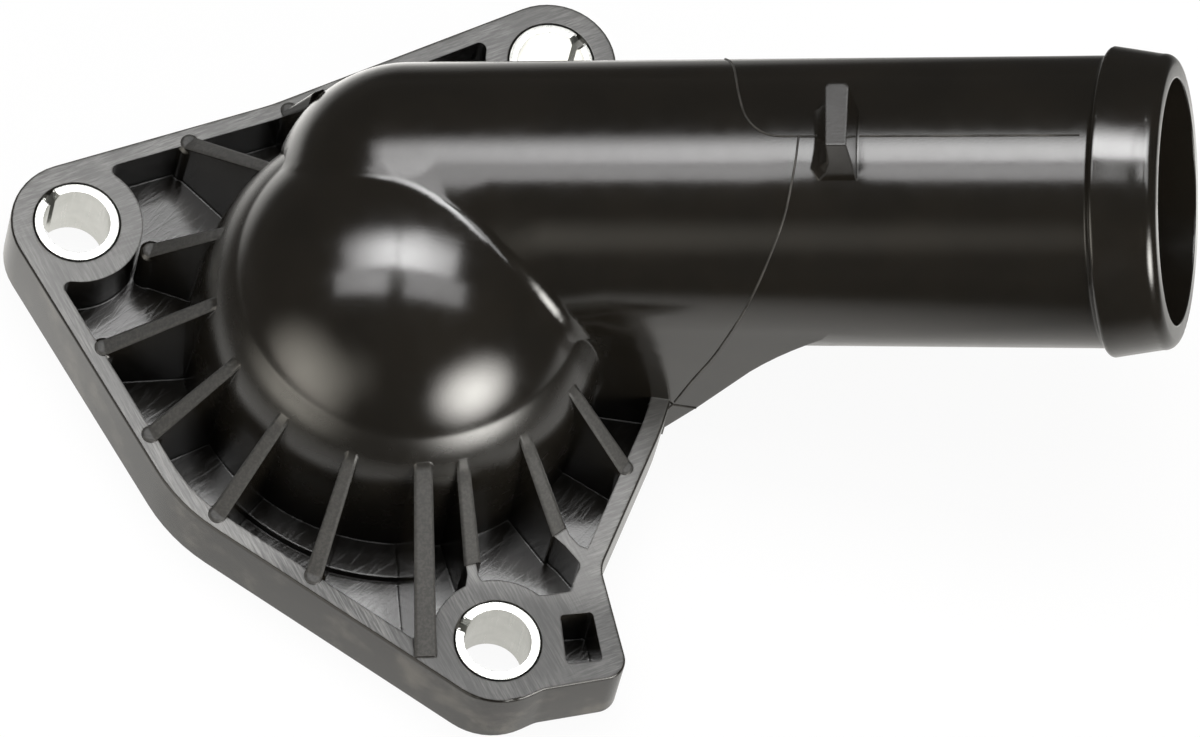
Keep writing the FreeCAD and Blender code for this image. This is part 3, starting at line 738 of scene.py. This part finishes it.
@dataclass
class Studio:
    """The floor, the lamps, the surroundings and the camera.

    Attributes:
        eye: Where the camera is, in metres.
        turn: Its turns about X, Y and Z, in degrees.
        lens: Its focal length, in millimetres on a 36 mm frame.
        key_distance: How far away the lamps are, in metres.
        warm: The tint of the fills.
        faint_warm: The tint of the right fill.
        cream: The tint of the paper in reflections.
        paper: The floor's tone, least and most.
        paper_shown: How much of the white glow the camera sees, over the shaded floor.
        floor_drop: How far the floor is below the mounting face, in metres.
        room_fill: How bright the room is for soft light.
        room_reflected: How bright it is in reflections.
    """

    eye: Spot = (-0.132618, -0.943388, 1.909354)
    turn: Spot = (25.77682, -7.24797, 5.03480)
    lens: float = 490.02
    key_distance: float = 0.9
    warm: Colour = (1.0, 0.95, 0.84)
    faint_warm: Colour = (1.0, 0.98, 0.93)
    cream: Colour = (1.0, 0.985, 0.95)
    paper: Pair = (0.80, 0.83)
    paper_shown: float = 0.93
    floor_drop: float = 0.05 * MM
    room_fill: float = 0.30
    room_reflected: float = 0.045

    def boxes(self) -> list[Softbox]:
        """Lists the lamps.

        Returns:
            The lamps: two bright panes overhead, two dimmer ones below them, and three at the sides.
        """
        window = {"tilt": 19.5, "spread": 29.0, "radiance": 10.5, "far_edge": 0.0}
        sill = {"tilt": -3.5, "spread": 14.0}
        fill = {"distance": self.key_distance, "soft": 1.0}
        return [
            self.pane("key_left", middle=-0.430, width=0.56, sides=(0.10, 1.0), **window),
            self.pane("key_right", middle=0.140, width=0.56, sides=(1.0, 0.36), **window),
            self.pane("low_left", middle=-0.50, width=0.58, sides=(0.60, 1.0), radiance=3.4, **sill),
            self.pane("low_right", middle=0.24, width=0.62, sides=(0.85, 0.75), radiance=2.9, **sill),
            Softbox("left_fill", (-0.75, -0.64, 0.16), width=1.15, height=1.10, radiance=2.6,
                    tint=self.warm, **fill),
            Softbox("right_fill", (0.67, -0.68, 0.30), width=0.95, height=0.76, radiance=11.0,
                    tint=self.faint_warm, **fill),
            Softbox("front_fill", (-0.40, -0.79, 0.47), width=0.60, height=0.62, radiance=0.45,
                    tint=self.warm, **fill),
        ]

    def pane(self, name: str, middle: float, width: float, tilt: float, spread: float,
             radiance: float, sides: Pair, far_edge: float = 1.0) -> Softbox:
        """Places one pane of the overhead window.

        Args:
            name: Its name.
            middle: Where it is along X, as a share of the distance.
            width: How wide it is, as a share of the distance.
            tilt: How far it is behind the zenith, in degrees.
            spread: How much of the sky it covers, in degrees.
            radiance: How bright its face is.
            sides: The share of its brightness at its left and right edges.
            far_edge: The share of its brightness at its far edge.

        Returns:
            The lamp.
        """
        angle = math.radians(tilt)
        back = Vector((middle, math.sin(angle), math.cos(angle)))
        away = self.key_distance * back.length
        tall = 2.0 * self.key_distance * math.tan(math.radians(spread) / 2.0)
        return Softbox(name, tuple(back), away, width * self.key_distance, tall, radiance,
                       sides=sides, far_edge=far_edge)

    def build(self) -> None:
        """Sets up the whole studio."""
        for box in self.boxes():
            box.build()
        self.floor()
        self.surroundings()
        self.camera()
        bpy.context.scene.view_settings.view_transform = "Standard"

    def floor(self) -> None:
        """Lays the pale floor."""
        half = 4.0
        mesh = bpy.data.meshes.new("studio_floor")
        low = -self.floor_drop
        corners = [(-half, -half, low), (half, -half, low), (half, half, low), (-half, half, low)]
        mesh.from_pydata(corners, [], [(0, 1, 2, 3)])
        plane = bpy.data.objects.new("studio_floor", mesh)
        bpy.context.scene.collection.objects.link(plane)
        plane.data.materials.append(self.floor_finish())

    def floor_finish(self) -> bpy.types.Material:
        """Makes the floor's finish: white paper that shows a soft shadow.

        Returns:
            The material.
        """
        material, graph, shader = new_material("white_paper")
        output = next(node for node in graph.tree.nodes if node.type == "OUTPUT_MATERIAL")
        place = graph.add("ShaderNodeTexCoord").outputs["Object"]
        darker, lighter = ((tone, tone, tone) for tone in self.paper)
        graph.link(graph.blend(graph.noise(place, 30.0, 3.0), darker, lighter), shader, "Base Color")
        shader.inputs["Roughness"].default_value = 0.9
        shader.inputs["Specular IOR Level"].default_value = 0.0
        path = graph.add("ShaderNodeLightPath").outputs
        mirrored = path["Is Glossy Ray"]
        straight = graph.maths("MAXIMUM", path["Is Camera Ray"], path["Is Transmission Ray"])
        amount = graph.maths("MAXIMUM", graph.product(straight, self.paper_shown), mirrored)
        level = graph.mix(mirrored, 1.0, self.sheet_glow(graph, place))
        tint = graph.blend(mirrored, (1.0, 1.0, 1.0), self.cream)
        white = graph.add("ShaderNodeEmission", {"Color": tint, "Strength": level})
        values = {0: amount, 1: shader.outputs[0], 2: white.outputs[0]}
        graph.tree.links.new(graph.add("ShaderNodeMixShader", values).outputs[0], output.inputs[0])
        return material

    def sheet_glow(self, graph: Graph, place: Socket) -> Socket:
        """Says how bright the paper is in reflections: pale at the object and dark a hand away.

        Args:
            graph: The floor material's graph.
            place: Where a point of the floor is.

        Returns:
            The brightness.
        """
        flange, flange_reach = (5.0 * MM, 0.0, 0.0), 52.0 * MM
        neck_start, neck_end, neck_side, neck_reach = 40.0 * MM, 100.0 * MM, 14.0 * MM, 18.0 * MM
        near, far, near_level, far_level = -8.0 * MM, 78.0 * MM, 0.72, 0.04
        across, along, _ = graph.parts(place)
        values = {"Value": across, "Min": neck_start, "Max": neck_end}
        on_neck = graph.add("ShaderNodeClamp", values).outputs[0]
        nearest = graph.add("ShaderNodeCombineXYZ", {0: on_neck, 1: neck_side}).outputs[0]
        gaps = []
        for centre, reach in ((flange, flange_reach), (nearest, neck_reach)):
            gaps.append(graph.maths("SUBTRACT", graph.vector_maths("DISTANCE", place, centre), reach))
        glow = graph.ramp(graph.maths("MINIMUM", *gaps), near, far, near_level, far_level)
        rise = graph.ramp(along, 26.0 * MM, 40.0 * MM, 1.0, 2.6)
        fall = graph.ramp(along, 46.0 * MM, 84.0 * MM, 1.0, 0.3)
        beside = graph.ramp(across, -28.0 * MM, -60.0 * MM, 1.0, 1.5)
        return graph.product(glow, graph.maths("MAXIMUM", graph.product(rise, fall), beside))

    def surroundings(self) -> None:
        """Makes the room: white where the camera looks, dark in reflections, and a low even fill."""
        world = bpy.data.worlds.new("studio_room")
        bpy.context.scene.world = world
        world.use_nodes = True
        graph = Graph(world.node_tree)
        graph.tree.nodes.clear()
        path = graph.add("ShaderNodeLightPath").outputs
        room = graph.mix(path["Is Glossy Ray"], self.room_fill, self.room_reflected)
        straight = graph.maths("MAXIMUM", path["Is Camera Ray"], path["Is Transmission Ray"])
        level = graph.mix(straight, room, 1.0)
        glow = graph.add("ShaderNodeBackground", {"Color": (1.0, 1.0, 1.0, 1.0), "Strength": level})
        graph.add("ShaderNodeOutputWorld", {"Surface": glow.outputs[0]})

    def camera(self) -> None:
        """Puts the camera where the photograph was taken from."""
        lens = bpy.data.cameras.new("photo_camera")
        lens.sensor_fit = "HORIZONTAL"
        lens.sensor_width = 36.0
        lens.lens = self.lens
        lens.clip_end = 50.0
        shown = bpy.data.objects.new("photo_camera", lens)
        bpy.context.scene.collection.objects.link(shown)
        shown.location = self.eye
        shown.rotation_euler = Euler([math.radians(a) for a in self.turn], "XYZ")
        bpy.context.scene.camera = shown


@dataclass(frozen=True)
class Circle:
    """A circle in the dome's profile.

    Attributes:
        out: How far its centre is from the dome's axis, in millimetres.
        up: How far its centre is above the mounting face, in millimetres.
        radius: Its radius, in millimetres.
    """

    out: float
    up: float
    radius: float

    def point(self, degrees: float) -> Pair:
        """Gives the point at an angle above the horizon."""
        angle = math.radians(degrees)
        return self.out + self.radius * math.cos(angle), self.up + self.radius * math.sin(angle)

    def angle(self, out: float, up: float) -> float:
        """Gives the angle above the horizon at which a point is seen from the centre."""
        return math.degrees(math.atan2(up - self.up, out - self.out))

    def crossing(self, out: float, up: float, way: Pair, far: bool) -> float:
        """Finds how far a ray runs until it meets the circle.

        Args:
            out: Where the ray starts, across.
            up: Where it starts, in height.
            way: Its direction, of length one.
            far: True for the second crossing, False for the first.

        Returns:
            The distance, or -1 where the ray misses the circle.
        """
        across, rise = out - self.out, up - self.up
        half = across * way[0] + rise * way[1]
        inside = half * half - across * across - rise * rise + self.radius ** 2
        if inside < 0.0:
            return -1.0
        return -half + math.copysign(math.sqrt(inside), 1.0 if far else -1.0)


@dataclass
class Moulding:
    """The housing's skin, with the ball of the dome blended into its shoulder.

    The circles are the dome's profile in millimetres. The blend and the shoulder take the place
    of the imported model's tight corner there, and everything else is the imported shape.

    Attributes:
        ball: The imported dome's ball.
        wall: Its wall, which leans inwards as it rises.
        tight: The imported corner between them.
        shoulder_radius: The radius of the shoulder that takes the corner's place.
        shoulder_lean: Where the shoulder leaves the wall, in degrees above the horizon.
        blend_radius: The radius of the hollow between the shoulder and the ball.
        pivot: The point of the profile that the skin is moved towards or away from.
        skin_heights: The lowest and the highest place of the skin.
        skin_inner: How close to the axis the skin comes.
        skin_gap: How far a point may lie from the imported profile.
        margin: How far past the shoulder and the blend edges are split, in radians.
        shortest: The length under which an edge is not split.
        passes: How many times they are split.
        seam_angle: How far apart the directions along a seam may be, in degrees.
        marked: The mark past which a point belongs to the skin.
        on_face: The cosine past which a face belongs to it.
        same_way: The cosine past which two directions count as one.
        smooth_way: The cosine past which an edge is smooth.
        shoulder: The shoulder's circle.
        blend: The hollow's circle.
        turns: The angles about the pivot where one circle gives way to the next.
    """

    ball: Circle = Circle(0.0, 12.5, 26.3)
    wall: Circle = Circle(-5.25, 13.5, 32.0)
    tight: Circle = Circle(21.760, 22.276, 3.6)
    shoulder_radius: float = 15.0
    shoulder_lean: float = 7.5
    blend_radius: float = 5.0
    pivot: Pair = (16.0, 16.0)
    skin_heights: Pair = (13.8, 31.0)
    skin_inner: float = 17.0
    skin_gap: float = 0.06
    margin: float = 0.06
    shortest: float = 0.5
    passes: int = 2
    seam_angle: float = 18.0
    marked: float = 0.99
    on_face: float = 0.9
    same_way: float = 0.99999
    smooth_way: float = 0.9999
    shoulder: Circle = field(init=False)
    blend: Circle = field(init=False)
    turns: Spot = field(init=False)

    def __post_init__(self) -> None:
        """Fits the shoulder to the wall, the blend to both, and notes where each gives way."""
        inner = Circle(self.wall.out, self.wall.up, self.wall.radius - self.shoulder_radius)
        hub = inner.point(self.shoulder_lean)
        self.shoulder = Circle(*hub, self.shoulder_radius)
        to_ball = self.ball.radius + self.blend_radius
        to_shoulder = self.shoulder_radius + self.blend_radius
        run, rise = hub[0] - self.ball.out, hub[1] - self.ball.up
        gap = math.hypot(run, rise)
        along = (to_ball ** 2 - to_shoulder ** 2 + gap ** 2) / (2.0 * gap)
        side = math.sqrt(to_ball ** 2 - along ** 2)
        out = self.ball.out + (run * along - rise * side) / gap
        up = self.ball.up + (rise * along + run * side) / gap
        self.blend = Circle(out, up, self.blend_radius)
        lean_end = self.wall.point(self.shoulder_lean)
        blend_start = self.shoulder.point(self.shoulder.angle(out, up))
        blend_end = self.ball.point(self.ball.angle(out, up))
        self.turns = tuple(self.aim(place) for place in (lean_end, blend_start, blend_end))

    def aim(self, place: Pair) -> float:
        """Gives the angle of a profile point about the pivot, in radians."""
        return math.atan2(place[1] - self.pivot[1], place[0] - self.pivot[0])

    def on_skin(self, place: Vector) -> bool:
        """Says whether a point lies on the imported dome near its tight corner.

        Args:
            place: The point, in metres.

        Returns:
            True where it does.
        """
        out, up = self.profile(place)
        lowest, highest = self.skin_heights
        if not lowest < up < highest or out < self.skin_inner:
            return False
        circles = (self.ball, self.wall, self.tight)
        gaps = [abs(math.hypot(out - circle.out, up - circle.up) - circle.radius) for circle in circles]
        return min(gaps) < self.skin_gap

    def profile(self, place: Vector) -> Pair:
        """Gives a point's distance from the axis and its height, in millimetres."""
        return math.hypot(place.x, place.y) / MM, place.z / MM

    def settle(self, place: Vector) -> tuple[Vector, Vector]:
        """Moves a point of the skin onto the blended profile.

        Args:
            place: The point, in metres.

        Returns:
            Its new place and the direction in which the skin faces there.
        """
        angle = self.aim(self.profile(place))
        way = (math.cos(angle), math.sin(angle))
        low, middle, high = self.turns
        if angle < low:
            circle, far = self.wall, True
        elif angle < middle:
            circle, far = self.shoulder, True
        elif angle < high:
            circle, far = self.blend, False
        else:
            circle, far = self.ball, True
        reach = circle.crossing(*self.pivot, way, far)
        new_out, new_up = self.pivot[0] + way[0] * reach, self.pivot[1] + way[1] * reach
        turn = 1.0 if far else -1.0
        face_out, face_up = turn * (new_out - circle.out), turn * (new_up - circle.up)
        spoke = Vector((place.x, place.y, 0.0)).normalized()
        moved = spoke * new_out * MM + Vector((0.0, 0.0, new_up * MM))
        return moved, (spoke * face_out + Vector((0.0, 0.0, face_up))).normalized()

    def build(self, housing: bpy.types.Object) -> bpy.types.Object:
        """Copies the housing and blends the copy's shoulder.

        Args:
            housing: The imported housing.

        Returns:
            The new piece.
        """
        mesh = housing.data.copy()
        mesh.name = "moulded_housing"
        kept = mesh.attributes.new("kept_normal", "FLOAT_VECTOR", "CORNER")
        ways = [value for corner in mesh.corner_normals for value in corner.vector]
        kept.data.foreach_set("vector", ways)
        form = bmesh.new()
        form.from_mesh(mesh)
        bmesh.ops.remove_doubles(form, verts=form.verts, dist=0.001 * MM)
        settled = self.reshape(form)
        layer = form.loops.layers.float_vector["kept_normal"]
        self.join_seams(form, layer)
        self.mark_edges(form, layer)
        form.to_mesh(mesh)
        form.free()
        values = [0.0] * (3 * len(mesh.loops))
        mesh.attributes["kept_normal"].data.foreach_get("vector", values)
        mesh.attributes.remove(mesh.attributes["kept_normal"])
        mesh.normals_split_custom_set([values[k:k + 3] for k in range(0, len(values), 3)])
        shown = bpy.data.objects.new("moulded_housing", mesh)
        bpy.context.scene.collection.objects.link(shown)
        log.info("moulded_housing has %d faces, %d skin points settled", len(mesh.polygons), settled)
        return shown

    def reshape(self, form: bmesh.types.BMesh) -> int:
        """Splits the skin near the corner and moves it onto the blended profile.

        Args:
            form: The mesh.

        Returns:
            How many points moved.
        """
        mark = form.verts.layers.float.new("skin")
        for vert in form.verts:
            vert[mark] = float(self.on_skin(vert.co))
        for _ in range(self.passes):
            edges = [edge for edge in form.edges if self.near_corner(edge, mark)]
            bmesh.ops.subdivide_edges(form, edges=edges, cuts=1)
            bmesh.ops.triangulate(form, faces=[face for face in form.faces if len(face.verts) > 3])
        form.verts.index_update()
        facing = {}
        for vert in form.verts:
            if vert[mark] > self.marked:
                vert.co, facing[vert.index] = self.settle(vert.co)
        form.normal_update()
        layer = form.loops.layers.float_vector["kept_normal"]
        for face in form.faces:
            ends = [vert.index for vert in face.verts]
            if all(end in facing for end in ends) and face.normal.dot(facing[ends[0]]) > self.on_face:
                for loop in face.loops:
                    loop[layer] = facing[loop.vert.index]
        return len(facing)

    def join_seams(self, form: bmesh.types.BMesh, layer: bmesh.types.BMLayerItem) -> None:
        """Evens out the shading along seams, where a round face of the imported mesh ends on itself.

        Args:
            form: The mesh.
            layer: The layer that holds the direction at each corner of its faces.
        """
        near = math.cos(math.radians(self.seam_angle))
        for vert in form.verts:
            ways: list[Vector] = []
            for loop in vert.link_loops:
                if all(loop[layer].dot(way) < self.same_way for way in ways):
                    ways.append(loop[layer].copy())
            for loop in vert.link_loops:
                alike = [way for way in ways if loop[layer].dot(way) > near]
                loop[layer] = sum(alike, Vector()).normalized()

    def mark_edges(self, form: bmesh.types.BMesh, layer: bmesh.types.BMLayerItem) -> None:
        """Marks as sharp every edge whose two faces have different directions along it.

        Args:
            form: The mesh.
            layer: The layer that holds the direction at each corner of its faces.
        """
        for edge in form.edges:
            if len(edge.link_loops) != 2:
                continue
            first, second = edge.link_loops
            across = {loop.vert: loop[layer] for loop in (second, second.link_loop_next)}
            ends = (first, first.link_loop_next)
            edge.smooth = all(loop[layer].dot(across[loop.vert]) > self.smooth_way for loop in ends)

    def near_corner(self, edge: bmesh.types.BMEdge, mark: bmesh.types.BMLayerItem) -> bool:
        """Says whether an edge lies on the skin where it is blended, and is long enough to split.

        Args:
            edge: The edge.
            mark: The layer that marks the points of the skin.

        Returns:
            True where it does.
        """
        outside = min(vert[mark] for vert in edge.verts) < self.marked
        if outside or edge.calc_length() < self.shortest * MM:
            return False
        low, high = self.turns[0] - self.margin, self.turns[2] + self.margin
        aims = [self.aim(self.profile(vert.co)) for vert in edge.verts]
        return max(aims) > low and min(aims) < high


class Recipe:
    """A Geometry Nodes group with named inputs, run once and turned into a plain mesh."""

    def __init__(self, name: str, inputs: dict[str, str]) -> None:
        """Starts the group.

        Args:
            name: The group's name.
            inputs: The socket type of each input, by its name.
        """
        self.tree = bpy.data.node_groups.new(name, "GeometryNodeTree")
        self.graph = Graph(self.tree)
        self.tree.interface.new_socket("Geometry", in_out="INPUT", socket_type="NodeSocketGeometry")
        for label, kind in inputs.items():
            self.tree.interface.new_socket(label, in_out="INPUT", socket_type=kind)
        self.tree.interface.new_socket("Geometry", in_out="OUTPUT", socket_type="NodeSocketGeometry")
        self.given = self.graph.add("NodeGroupInput").outputs

    def end(self, shape: Socket) -> None:
        """Ends the group with a plain, dressed mesh.

        Args:
            shape: What the group makes.
        """
        plain = self.graph.add("GeometryNodeRealizeInstances", {0: shape}).outputs[0]
        values = {"Geometry": plain, "Material": self.given["Finish"]}
        dressed = self.graph.add("GeometryNodeSetMaterial", values).outputs[0]
        self.graph.add("NodeGroupOutput", {0: dressed})

    def make(self, name: str, seed: bpy.types.Mesh, values: dict[str, object]) -> bpy.types.Object:
        """Runs the group.

        Args:
            name: The piece's name.
            seed: The mesh that the group starts from.
            values: What goes into its inputs, by name.

        Returns:
            The piece.
        """
        piece = bpy.data.objects.new(name, seed)
        bpy.context.scene.collection.objects.link(piece)
        modifier = piece.modifiers.new(name, "NODES")
        modifier.node_group = self.tree
        for item in self.tree.interface.items_tree:
            if item.in_out == "INPUT" and item.name in values:
                modifier[item.identifier] = values[item.name]
        bpy.context.view_layer.update()
        shown = piece.evaluated_get(bpy.context.evaluated_depsgraph_get())
        mesh = bpy.data.meshes.new_from_object(shown)
        piece.modifiers.remove(modifier)
        piece.data = mesh
        log.info("%s has %d faces", name, len(mesh.polygons))
        return piece


@dataclass
class MouldSeams:
    """The raised lines on the neck where the halves and the core of the mould met.

    Each line on the neck is a few points, as a distance along it in millimetres and an angle in
    degrees from its top towards +Y. The lines on the skirt are points in the shared frame, in
    millimetres. All are laid on the skin of the housing.

    Attributes:
        axis_start: Where the neck's axis starts, in millimetres.
        climb: How steeply it climbs, in degrees.
        radius: How far from the axis the points on the neck are, in millimetres.
        thickness: The radius of a line, half of it sunk, in millimetres.
        step: How far apart its points are laid, in millimetres.
        facets: How many sides a line has.
        core_line: The edge of the core's slide, from behind the neck to its top.
        top_line: The line from the stop tab to the bead.
        side_line: The line from the top of the neck down its side.
        skirt_line: The line down the skirt.
        foot_line: The step at the skirt's foot.
    """

    axis_start: Spot = (0.0, 14.0, 20.5)
    climb: float = 17.0
    radius: float = 18.5
    thickness: float = 0.15
    step: float = 0.3
    facets: int = 8
    core_line: tuple[Pair, ...] = (
        (41, 60), (43, 44), (45, 20), (46.6, 7.5), (49.4, 0.5), (53.5, -0.5), (56.2, -0.5),
    )
    top_line: tuple[Pair, ...] = ((61.4, -0.5), (70, -0.5), (80, -0.5), (90, -0.5))
    side_line: tuple[Pair, ...] = (
        (53.5, -0.5), (53.2, -14), (52, -33), (49.5, -52), (47, -68), (44, -86),
    )
    skirt_line: tuple[Spot, ...] = (
        (41.7, -4.6, 34.6), (40.2, -4.8, 25), (38.4, -4.9, 17), (37, -5, 10),
    )
    foot_line: tuple[Spot, ...] = ((33.8, -5, 9.1), (37, -5, 9.1), (40, -5, 9.1))

    def place(self, along: float, degrees: float) -> Vector:
        """Gives a point beside the neck.

        Args:
            along: How far it is along the axis, in millimetres.
            degrees: Its angle from the top towards +Y.

        Returns:
            The point, in metres.
        """
        climb, angle = math.radians(self.climb), math.radians(degrees)
        way = Vector((math.cos(climb), 0.0, math.sin(climb)))
        top = Vector((-math.sin(climb), 0.0, math.cos(climb)))
        out = top * math.cos(angle) + Vector((0.0, 1.0, 0.0)) * math.sin(angle)
        return (Vector(self.axis_start) + way * along + out * self.radius) * MM

    def seed(self) -> bpy.types.Mesh:
        """Draws the lines as chains of edges.

        Returns:
            The mesh.
        """
        points: list[Vector] = []
        edges: list[tuple[int, int]] = []
        on_neck = (self.core_line, self.top_line, self.side_line)
        lines = [[self.place(*spot) for spot in line] for line in on_neck]
        lines += [[Vector(spot) * MM for spot in line] for line in (self.skirt_line, self.foot_line)]
        for line in lines:
            first = len(points)
            points += line
            edges += [(k, k + 1) for k in range(first, len(points) - 1)]
        mesh = bpy.data.meshes.new("mould_seams")
        mesh.from_pydata(points, edges, [])
        return mesh

    def recipe(self) -> Recipe:
        """Makes the group that lays the lines on the skin.

        Returns:
            The group.
        """
        recipe = Recipe("mould_seam_lines", {
            "Skin": "NodeSocketObject", "Thickness": "NodeSocketFloat", "Step": "NodeSocketFloat",
            "Finish": "NodeSocketMaterial",
        })
        graph, given = recipe.graph, recipe.given
        route = graph.add("GeometryNodeMeshToCurve", {0: given["Geometry"]}).outputs[0]
        smooth = graph.add("GeometryNodeCurveSplineType", {0: route}, spline_type="CATMULL_ROM")
        values = {"Curve": smooth.outputs[0], "Length": given["Step"]}
        fine = graph.add("GeometryNodeResampleCurve", values, mode="LENGTH").outputs[0]
        skin = graph.add("GeometryNodeObjectInfo", {"Object": given["Skin"]}).outputs["Geometry"]
        nearest = graph.add("GeometryNodeProximity", {0: skin}, target_element="FACES")
        values = {0: fine, "Position": nearest.outputs["Position"]}
        laid = graph.add("GeometryNodeSetPosition", values).outputs[0]
        values = {"Resolution": self.facets, "Radius": given["Thickness"]}
        ring = graph.add("GeometryNodeCurvePrimitiveCircle", values).outputs[0]
        values = {"Curve": laid, "Profile Curve": ring, "Fill Caps": True}
        solid = graph.add("GeometryNodeCurveToMesh", values).outputs[0]
        recipe.end(graph.add("GeometryNodeSetShadeSmooth", {0: solid}).outputs[0])
        return recipe

    def build(self, skin: bpy.types.Object, finish: bpy.types.Material) -> bpy.types.Object:
        """Builds the lines.

        Args:
            skin: The housing that they lie on.
            finish: Their material.

        Returns:
            The piece.
        """
        values = {
            "Skin": skin, "Thickness": self.thickness * MM, "Step": self.step * MM, "Finish": finish,
        }
        return self.recipe().make("mould_seams", self.seed(), values)


@dataclass
class SleeveTeeth:
    """The fine teeth that the rolling tool leaves round the top of each sleeve.

    Attributes:
        length: A tooth's size across the wall, in millimetres.
        width: Its size round the ring.
        height: Its size upwards, half of it sunk.
        inset: How far its middle is inside the outer edge, as a share of its length.
        count: How many teeth a sleeve has.
        gap: How far they stay from the slit on each side of it, in degrees.
        seed: The seed of their random sizes.
        least: The smallest tooth, where 1 is the size above.
        most: The largest.
        seams: Where each sleeve's slit is, in degrees from X.
    """

    length: float = 0.34
    width: float = 0.13
    height: float = 0.09
    inset: float = 0.7
    count: int = 130
    gap: float = 9.0
    seed: int = 7
    least: float = 0.75
    most: float = 1.2
    seams: dict[Bolt, float] = field(
        default_factory=lambda: {Bolt.LEFT: 140.0, Bolt.UPPER: 48.0, Bolt.LOWER: 160.0}
    )

    def recipe(self) -> Recipe:
        """Makes the group that sets the teeth round a ring.

        Returns:
            The group.
        """
        recipe = Recipe("sleeve_teeth_ring", {
            "Centre": "NodeSocketVector", "Radius": "NodeSocketFloat", "Start": "NodeSocketFloat",
            "Sweep": "NodeSocketFloat", "Count": "NodeSocketInt", "Tooth": "NodeSocketVector",
            "Seed": "NodeSocketInt", "Finish": "NodeSocketMaterial",
        })
        graph, given = recipe.graph, recipe.given
        values = {
            "Resolution": given["Count"], "Radius": given["Radius"], "Start Angle": given["Start"],
            "Sweep Angle": given["Sweep"],
        }
        ring = graph.add("GeometryNodeCurveArc", values, mode="RADIUS").outputs[0]
        along = graph.add("GeometryNodeInputTangent").outputs[0]
        turn = graph.add("FunctionNodeAlignEulerToVector", {"Vector": along}, axis="Y").outputs[0]
        tooth = graph.add("GeometryNodeMeshCube", {"Size": given["Tooth"]}).outputs[0]
        spread = {"Min": self.least, "Max": self.most, "Seed": given["Seed"]}
        scale = graph.add("FunctionNodeRandomValue", spread, data_type="FLOAT")
        values = {"Points": ring, "Instance": tooth, "Rotation": turn, "Scale": scale.outputs[1]}
        teeth = graph.add("GeometryNodeInstanceOnPoints", values).outputs[0]
        whole = graph.add("GeometryNodeRealizeInstances", {0: teeth}).outputs[0]
        values = {0: whole, "Translation": given["Centre"]}
        recipe.end(graph.add("GeometryNodeTransform", values).outputs[0])
        return recipe

    def build(self, finish: bpy.types.Material) -> list[bpy.types.Object]:
        """Builds the teeth of each sleeve.

        Args:
            finish: Their material.

        Returns:
            The pieces.
        """
        recipe = self.recipe()
        pieces = []
        for bolt, degrees in self.seams.items():
            low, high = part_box(bolt.value)
            centre = Vector(((low[0] + high[0]) / 2.0, (low[1] + high[1]) / 2.0, high[2]))
            outer = (high[0] - low[0]) / 2.0
            values = {
                "Centre": centre, "Radius": outer - self.inset * self.length * MM,
                "Start": math.radians(degrees + self.gap),
                "Sweep": math.radians(360.0 - 2.0 * self.gap), "Count": self.count, "Seed": self.seed,
                "Tooth": Vector((self.length, self.width, self.height)) * MM, "Finish": finish,
            }
            name = bolt.value + "_teeth"
            pieces.append(recipe.make(name, bpy.data.meshes.new(name), values))
        return pieces


@dataclass
class Outlet:
    """The moulded housing, its sleeves and its seal."""

    nodes: dict[str, bpy.types.Object]
    nylon: MouldedNylon = field(default_factory=MouldedNylon)
    seam_nylon: SeamNylon = field(default_factory=SeamNylon)
    steel: PlatedSteel = field(default_factory=PlatedSteel)
    rubber: SealRubber = field(default_factory=SealRubber)
    moulding: Moulding = field(default_factory=Moulding)
    seams: MouldSeams = field(default_factory=MouldSeams)
    teeth: SleeveTeeth = field(default_factory=SleeveTeeth)

    def build(self) -> None:
        """Builds the moulding and dresses every piece."""
        nylon = self.nylon.material()
        self.dress("housing", nylon)
        skin = self.moulding.build(self.nodes["housing"])
        skin.data.materials.clear()
        skin.data.materials.append(nylon)
        seams = self.seams.build(skin, self.seam_nylon.material())
        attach(skin, "root")
        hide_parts("housing")
        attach(seams, "root")
        steel = self.steel.material()
        for bolt in Bolt:
            self.dress(bolt.value, steel)
        for piece in self.teeth.build(steel):
            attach(piece, "root")
        self.dress("mounting_seal", self.rubber.material())

    def dress(self, name: str, finish: bpy.types.Material) -> None:
        """Gives a node its finish.

        Args:
            name: The node.
            finish: The material.
        """
        node = self.nodes[name]
        node.data.materials.clear()
        node.data.materials.append(finish)
        log.info("%s is dressed in %s", name, finish.name)


def main() -> None:
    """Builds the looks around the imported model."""
    logging.basicConfig(level=logging.INFO, format="%(name)s: %(message)s")
    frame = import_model()
    Outlet(frame["nodes"]).build()
    Studio().build()


if __name__ == "__main__":
    main()
